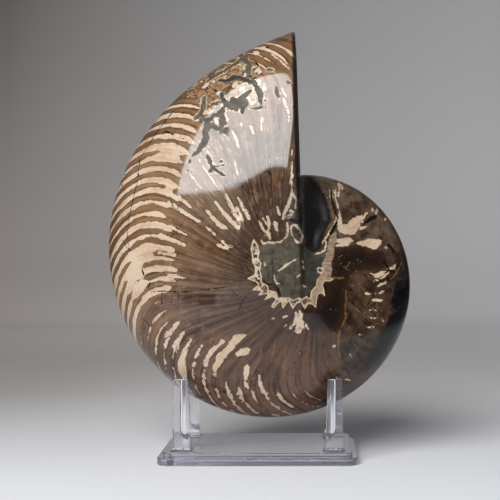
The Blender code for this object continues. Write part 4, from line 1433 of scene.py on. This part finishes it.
# ---- the fossil
@dataclass
class NautilusFossil:
    """The whole fossil: one closed skin of shell and rock over both flanks."""

    coil: Coil = field(default_factory=Coil)
    columns: int = 400
    rings: int = 112
    navel_rings: int = 14
    wall_rows: int = 12
    rim_radius: float = 1.5 * MM    # the polished rim of the aperture
    roll_depth: float = 1.6 * MM    # the flank rolls in gently on its way to the rim
    roll_length: float = 4.0 * MM
    rim_turn: float = math.radians(40.0)    # no place further back is moved
    navel_fade: float = 12.0 * MM   # the rim is sharp at the navel, and rounds over this
    trough_depth: float = 1.2 * MM
    trough_slope: float = 5.5       # millimetres from its edge to its full depth
    trough_crest: float = 6.0 * MM  # and none of it along the mid-plane
    recess: float = 2.4 * MM        # the rock stands back this far inside the rim
    recess_start: float = 1.0 * MM
    recess_end: float = 4.0 * MM

    def grow(self, finish: Material) -> Mesh:
        """Grow both flanks with Geometry Nodes and turn them into a plain mesh.

        Args:
            finish: the shell's material.

        Returns:
            The mesh, open at the aperture.
        """
        tree = self.coil.tree(self.rings, self.navel_rings)
        seed = put_out("coil_seed", bpy.data.meshes.new("coil_seed"))
        step = seed.modifiers.new("grow", "NODES")
        step.node_group = tree
        sizes = {name: getattr(self.coil, name) for name in self.coil.__dataclass_fields__}
        sizes.update({"Columns": self.columns, "Rings": self.rings, "Material": finish})
        for socket in tree.interface.items_tree:
            if socket.in_out == "INPUT" and socket.name in sizes:
                step[socket.identifier] = sizes[socket.name]
        mesh = melt(seed)
        bpy.data.objects.remove(seed, do_unlink=True)
        bpy.data.node_groups.remove(tree)
        return mesh

    def round_rim(self, shape: bmesh.types.BMesh) -> None:
        """Round the shell over where it meets the cut aperture.

        Args:
            shape: the open skin, changed in place.
        """
        coil = self.coil
        turns, shares = (shape.verts.layers.float[name] for name in ("turn", "share"))
        bmesh.ops.recalc_face_normals(shape, faces=shape.faces)
        shape.normal_update()
        moves = []
        for vertex in shape.verts:
            if vertex[turns] > self.rim_turn:
                continue
            x, z = vertex.co.x - coil.axis_x, vertex.co.z - coil.axis_z
            back = -(x * math.cos(coil.lean) + z * math.sin(coil.lean))
            reach = math.hypot(x, z)
            fade = smooth_step(coil.navel_radius, coil.navel_radius + self.navel_fade, reach)
            short = max(self.rim_radius - max(back, 0.0), 0.0)
            inset = self.rim_radius - math.sqrt(self.rim_radius ** 2 - short ** 2)
            flat = 1 - smooth_step(.70, .95, vertex[shares])
            inset += flat * self.roll_depth * math.exp(-max(back, 0.0) / self.roll_length)
            if inset * fade > 0.0:
                moves.append((vertex, vertex.normal * (inset * fade)))
        for vertex, move in moves:
            vertex.co -= Vector((0.0, move.y, move.z))

    def close_aperture(self, shape: bmesh.types.BMesh) -> None:
        """Fill the aperture with set-back rock, between the young rim and the old flank.

        Args:
            shape: the open skin, changed in place.
        """
        coil = self.coil
        turns, shares = (shape.verts.layers.float[name] for name in ("turn", "share"))
        gaps = shape.verts.layers.float.new("gap")
        into = Vector((-math.cos(coil.lean), 0.0, -math.sin(coil.lean)))
        rim = {vertex for line in shape.edges if line.is_boundary for vertex in line.verts}
        bridges = {}
        for side in (Side.NEAR, Side.FAR):
            rows = []
            for young in (False, True):
                row = [vertex for vertex in rim if (vertex[turns] < math.pi) == young
                       and vertex.co.y * side.value >= -1e-7]
                rows.append(sorted(row, key=lambda item: item[shares]))
            old, new = rows
            if len(old) != len(new):
                # Where the two lines part, one vertex belongs to both.
                shortest, longest = sorted((old, new), key=len)
                shortest.insert(0, longest[0])
            lines = []
            for ends in zip(old, new):
                start, end = ends
                if start is end:
                    bridges[ends] = [start] * (self.wall_rows + 1)
                elif ends not in bridges:
                    span = (end.co - start.co).length
                    line = [start]
                    for row in range(1, self.wall_rows):
                        part = math.sin(math.pi / 2.0 * row / self.wall_rows)
                        gap = span * (1.0 - part)
                        away = min(gap, span * part)
                        depth = self.recess * smooth_step(self.recess_start, self.recess_end, away)
                        added = shape.verts.new(start.co.lerp(end.co, part) + into * depth)
                        added[turns], added[shares] = start[turns], start[shares]
                        added[gaps] = gap / MM
                        line.append(added)
                    start[gaps] = span / MM
                    bridges[ends] = line + [end]
                lines.append(bridges[ends])
            for low, high in zip(lines, lines[1:]):
                for row in range(self.wall_rows):
                    corners = [low[row], high[row], high[row + 1], low[row + 1]]
                    corners = list(dict.fromkeys(corners))
                    if len(corners) > 2:
                        face = shape.faces.new(corners)
                        face.material_index = 1
                        face.smooth = True

    def mark(self, mesh: Mesh) -> None:
        """Store the fields that the finish reads, and sink the hollow by the aperture.

        Args:
            mesh: the closed skin.
        """
        count = len(mesh.vertices)
        places = np.empty(count * 3)
        mesh.vertices.foreach_get("co", places)
        places = places.reshape(-1, 3)
        stored = {}
        for name in ("turn", "share", "gap"):
            stored[name] = np.empty(count)
            mesh.attributes[name].data.foreach_get("value", stored[name])
        x = (places[:, 0] - self.coil.axis_x) / MM
        z = (places[:, 2] - self.coil.axis_z) / MM
        near, far = (marks.fields(self.coil, stored["turn"], stored["share"], x, z)
                     for marks in (NEAR_MARKS, FAR_MARKS))
        near["side"], far["side"] = np.zeros(count), np.full(count, 3.0)
        behind = places[:, 1] > 1e-6
        kept = {name: np.where(behind, far[name], values) for name, values in near.items()}
        for name, values in kept.items():
            layer = mesh.attributes.new(name, "FLOAT", "POINT")
            layer.data.foreach_set("value", values.astype(np.float32))
        skin = stored["gap"] <= 0.0
        carve = (self.trough_depth * smooth_step(0, self.trough_slope, kept["trough"])
                 * smooth_step(0, self.trough_crest, np.abs(places[:, 1])))
        places[:, 1] -= np.sign(places[:, 1]) * np.where(skin, carve, 0.0)
        mesh.vertices.foreach_set("co", places.ravel())
        mesh.update()

    def build(self) -> Object:
        """Build and dress the fossil.

        Returns:
            The finished piece.
        """
        mesh = self.grow(PolishedShell().build())
        mesh.materials.append(SawnRock().build())
        shape = bmesh.new()
        shape.from_mesh(mesh)
        for face in shape.faces:
            face.smooth = True
        self.round_rim(shape)
        self.close_aperture(shape)
        bmesh.ops.recalc_face_normals(shape, faces=shape.faces)
        shape.to_mesh(mesh)
        shape.free()
        mesh.name = "fossil_skin"
        self.mark(mesh)
        piece = put_out("fossil_skin", mesh)
        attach(piece, "root")
        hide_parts("nautilus_fossil")
        return piece


# ---- the stand
@dataclass
class ClearStand:
    """One clear moulding: a stepped foot with rolled edges and four hollowed posts."""

    length: float = 91.2 * MM
    depth: float = 64.0 * MM
    corner: float = 6.0 * MM
    flange: float = 3.0 * MM        # height of the outer step
    height: float = 5.2 * MM        # height of the raised middle
    inset: float = 2.5 * MM
    roll: float = 0.35 * MM         # radius of the rolled edges
    post_x: float = 34.8 * MM
    post_y: float = 21.1 * MM
    post_foot: tuple[float, float] = (4.1 * MM, 3.5 * MM)   # half sizes
    post_top: tuple[float, float] = (3.2 * MM, 2.8 * MM)
    post_shift: float = 0.4 * MM
    post_height: float = 38.0 * MM
    post_edge: float = 0.35 * MM
    flare: float = 1.1 * MM
    flare_height: float = 1.6 * MM
    scoop: float = 7.0 * MM         # radius of the hollow down each inner corner
    scoop_bite: float = 3.6 * MM
    scoop_foot: float = 15.0 * MM
    # Millimetres up: they lie close together where the hollow runs out.
    hollow_levels: tuple[float, ...] = (8.4, 8.8, 9.0, 9.2, 9.4, 9.7, 10.0, 10.5, 11.0, 12.0,
                                        13.0, 14.0, 15.0, 20.0, 26.0, 32.0)

    def outline(self, half_x: float, half_y: float, corner: float,
                corners: tuple[int, ...] = (0, 1, 2, 3),
                steps: int = 8) -> list[tuple[float, float]]:
        """Draw a rectangle with rounded corners, anticlockwise.

        Args:
            half_x: half its size along X.
            half_y: half its size along Y.
            corner: radius of its corners.
            corners: which corners, each by its number of quarter turns from +X +Y.
            steps: faces round each corner.

        Returns:
            The points.
        """
        points = []
        for quarter in corners:
            side_x = 1 if quarter in (0, 3) else -1
            side_y = 1 if quarter in (0, 1) else -1
            for step in range(steps + 1):
                angle = math.pi / 2.0 * (quarter + step / steps)
                points.append((side_x * (half_x - corner) + corner * math.cos(angle),
                               side_y * (half_y - corner) + corner * math.sin(angle)))
        return points

    def loft(self, name: str, rings: list[list[Point]]) -> Object:
        """Skin a stack of rings and close both ends.

        Args:
            name: name of the object.
            rings: the rings, the lowest first, each with as many points.

        Returns:
            The closed body.
        """
        shape = bmesh.new()
        rows = [[shape.verts.new(point) for point in ring] for ring in rings]
        for low, high in zip(rows, rows[1:]):
            for place in range(len(low)):
                after = (place + 1) % len(low)
                shape.faces.new((low[place], low[after], high[after], high[place]))
        shape.faces.new(reversed(rows[0]))
        shape.faces.new(rows[-1])
        bmesh.ops.remove_doubles(shape, verts=shape.verts, dist=1e-6)
        bmesh.ops.recalc_face_normals(shape, faces=shape.faces)
        return put_out(name, to_mesh(name, shape))

    def foot_rings(self) -> list[list[Point]]:
        """Stack the foot's rings: base, flange, step, raised middle.

        Returns:
            The rings.
        """
        small, steps = self.roll / 2.0, 5
        arc = [math.pi / 2.0 * step / steps for step in range(steps + 1)]
        profile = []
        for step_in, low, high, way in ((0, 0, self.flange, 1),
                                        (self.inset, self.flange, self.height, -1)):
            profile += [(step_in + way * small * (1 - math.sin(t)),
                         low + small * (1 - math.cos(t))) for t in arc]
            profile += [(step_in + self.roll * (1 - math.cos(t)),
                         high - self.roll * (1 - math.sin(t))) for t in arc]
        return [[(x, y, z) for x, y in self.outline(self.length / 2 - inset, self.depth / 2 - inset,
                                                    self.corner - inset)] for inset, z in profile]

    def post_ring(self, z: float, shrink: float) -> list[Point]:
        """Draw one level of the post at +X +Y, with the hollow on its inner corner.

        Args:
            z: the level.
            shrink: how far every side is set in.

        Returns:
            The ring.
        """
        rise = (z - self.height) / (self.post_height - self.height)
        flare = self.flare * max(1.0 - (z - self.height) / self.flare_height, 0.0) ** 2
        half = [foot + (top - foot) * rise + flare - shrink
                for foot, top in zip(self.post_foot, self.post_top)]
        middle = [place + self.post_shift * rise for place in (self.post_x, self.post_y)]
        inner = [place - size for place, size in zip(middle, half)]
        stand_off = (math.sqrt(2 * self.scoop ** 2 - self.scoop_bite ** 2) - self.scoop_bite) / 2
        axis = [place + self.post_shift - top - stand_off
                for place, top in zip((self.post_x, self.post_y), self.post_top)]
        below = max(self.scoop_foot - z, 0.0)
        radius = math.sqrt(max(self.scoop ** 2 - below ** 2, 0.0)) + shrink
        ring = [(middle[0] + x, middle[1] + y) for x, y in self.outline(
            half[0], half[1], self.post_edge, (3, 0, 1), 4)]
        away = [place - centre for place, centre in zip(inner, axis)]
        if math.hypot(*away) < radius:
            start = math.atan2(math.sqrt(radius ** 2 - away[0] ** 2), away[0])
            end = math.atan2(away[1], math.sqrt(radius ** 2 - away[1] ** 2))
            for step in range(13):
                angle = start + (end - start) * step / 12
                ring.append((axis[0] + radius * math.cos(angle), axis[1] + radius * math.sin(angle)))
        else:
            ring += [tuple(inner)] * 13
        return [(x, y, z) for x, y in ring]

    def post_rings(self) -> list[list[Point]]:
        """Stack the rings of the post at +X +Y.

        Returns:
            The rings, from inside the foot up to the rounded top.
        """
        levels = [(self.height - 0.4 * MM, 0.0)]
        levels += [(self.height + self.flare_height * step / 6, 0.0) for step in range(7)]
        levels += [(z * MM, 0.0) for z in self.hollow_levels]
        levels += [(self.post_height - self.post_edge * (1 - math.sin(t)),
                    self.post_edge * (1 - math.cos(t)))
                   for t in (math.pi / 8 * step for step in range(5))]
        return [self.post_ring(z, shrink) for z, shrink in levels]

    def build(self) -> Object:
        """Build and dress the stand.

        Returns:
            The finished moulding.
        """
        stand = self.loft("clear_stand", self.foot_rings())
        posts = []
        for side_x in (-1, 1):
            for side_y in (-1, 1):
                rings = [[(side_x * x, side_y * y, z) for x, y, z in ring] for ring in self.post_rings()]
                posts.append(self.loft("post", rings))
                joint = stand.modifiers.new("join", "BOOLEAN")
                joint.operation, joint.solver, joint.object = "UNION", "EXACT", posts[-1]
        melt(stand)
        stand.data.shade_smooth()
        stand.data.set_sharp_from_angle(angle=math.radians(35.0))
        even = stand.modifiers.new("even shading", "WEIGHTED_NORMAL")
        even.keep_sharp = True
        melt(stand)
        for post in posts:
            bpy.data.meshes.remove(post.data)
        stand.data.materials.clear()
        stand.data.materials.append(ClearPolystyrene().build())
        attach(stand, "root")
        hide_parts("display_stand")
        return stand


# ---- the studio
@dataclass
class Studio:
    """Paper sweep, one large soft light, a dim room, and the camera."""

    half_width: float = 3.0
    front: float = -0.62            # the paper ends in front of the object
    wall: float = 1.3               # and turns up behind it
    bend: float = 0.35
    height: float = 2.4
    gap: float = 0.3 * MM           # air under the stand's clear foot
    room: str = "#67676a"
    key_power: float = 31.3
    key_width: float = 1.14
    key_height: float = 1.02
    key_distance: float = 1.2
    key_azimuth: float = -32.0      # degrees from straight in front, towards -X
    key_elevation: float = 32.0
    key_roll: float = -16.0
    key_target: Point = (0.0, 0.0, 0.11)
    key_offset: tuple[float, float] = (0.0922, -0.035)
    # A black flag trims the light on its left and below: its corners across and up.
    flag: Outline = ((-0.442, 0.70), (-0.118, -0.412), (0.209, -0.486), (0.38, -0.545), (0.44, -0.572),
                     (0.56, -0.59), (0.56, -0.95), (-0.95, -0.95), (-0.95, 0.70))
    flag_gap: float = 0.01
    camera_place: Point = (0.0247, -0.5621, 0.09686)
    camera_lens: float = 85.03
    camera_shift: float = -0.124

    def build_sweep(self) -> None:
        """Build the paper that the object stands on."""
        profile = [(self.front, -self.gap), (self.wall - self.bend, -self.gap)]
        for step in range(1, 13):
            angle = math.pi / 2.0 * step / 12
            profile.append((self.wall - self.bend + self.bend * math.sin(angle),
                            self.bend * (1.0 - math.cos(angle)) - self.gap))
        profile.append((self.wall, self.height))
        shape = bmesh.new()
        lines = []
        for x in (-self.half_width, self.half_width):
            lines.append([shape.verts.new((x, y, z)) for y, z in profile])
        for row in range(len(profile) - 1):
            face = shape.faces.new((lines[0][row], lines[1][row], lines[1][row + 1], lines[0][row + 1]))
            face.smooth = True
        sweep = put_out("paper_sweep", to_mesh("paper_sweep", shape, StudioPaper().build()))

    def build_key(self) -> None:
        """Hang the large soft light, aimed at the fossil."""
        lamp = bpy.data.lights.new("key", "AREA")
        lamp.shape = "RECTANGLE"
        lamp.size = self.key_width
        lamp.size_y = self.key_height
        lamp.energy = self.key_power
        item = put_out("key", lamp)
        across, up, way = self.aim()
        item.location = (Vector(self.key_target) + way * self.key_distance
                         + across * self.key_offset[0] + up * self.key_offset[1])
        turned = Matrix((across, up, way)).transposed()
        turned = turned @ Matrix.Rotation(math.radians(self.key_roll), 3, "Z")
        item.rotation_euler = turned.to_euler()

    def aim(self) -> tuple[Vector, Vector, Vector]:
        """Work out which way the light lies.

        Returns:
            The directions across it, up it, and from the fossil to it.
        """
        azimuth, elevation = math.radians(self.key_azimuth), math.radians(self.key_elevation)
        way = Vector((math.sin(azimuth) * math.cos(elevation),
                      -math.cos(azimuth) * math.cos(elevation), math.sin(elevation)))
        across = Vector((0.0, 0.0, 1.0)).cross(way).normalized()
        return across, way.cross(across), way

    def build_flag(self) -> None:
        """Hang the black flag just in front of the light."""
        across, up, way = self.aim()
        middle = Vector(self.key_target) + way * (self.key_distance - self.flag_gap)
        shape = bmesh.new()
        shape.faces.new([shape.verts.new(middle + across * x + up * y) for x, y in self.flag])
        flag = put_out("flag", to_mesh("flag", shape, BlackFelt().build()))

    def build_room(self) -> None:
        """Set the dim, even light of the room."""
        world = bpy.data.worlds.new("room")
        bpy.context.scene.world = world
        world.use_nodes = True
        world.node_tree.nodes.clear()
        shade = add_node(world.node_tree, "ShaderNodeBackground", (linear(self.room), 1))
        add_node(world.node_tree, "ShaderNodeOutputWorld", (shade,))

    def build_camera(self) -> None:
        """Place the camera, level and square to the shell's mid-plane."""
        data = bpy.data.cameras.new("camera")
        data.lens = self.camera_lens
        data.sensor_width = 36.0
        data.shift_x = self.camera_shift
        data.clip_end = 20.0
        camera = put_out("camera", data)
        camera.location = self.camera_place
        camera.rotation_euler = (math.pi / 2.0, 0.0, 0.0)
        bpy.context.scene.camera = camera

    def build(self) -> None:
        """Build the whole studio."""
        self.build_sweep()
        self.build_key()
        self.build_flag()
        self.build_room()
        self.build_camera()
        bpy.context.scene.view_settings.view_transform = "Standard"


def main() -> None:
    """Build the fossil, its stand and the studio."""
    logging.basicConfig(level=logging.INFO, format="%(name)s: %(message)s")
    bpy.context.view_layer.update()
    for piece in (NautilusFossil().build(), ClearStand().build()):
        LOG.info("%s: %d faces", piece.name, len(piece.data.polygons))
    Studio().build()


if __name__ == "__main__":
    main()
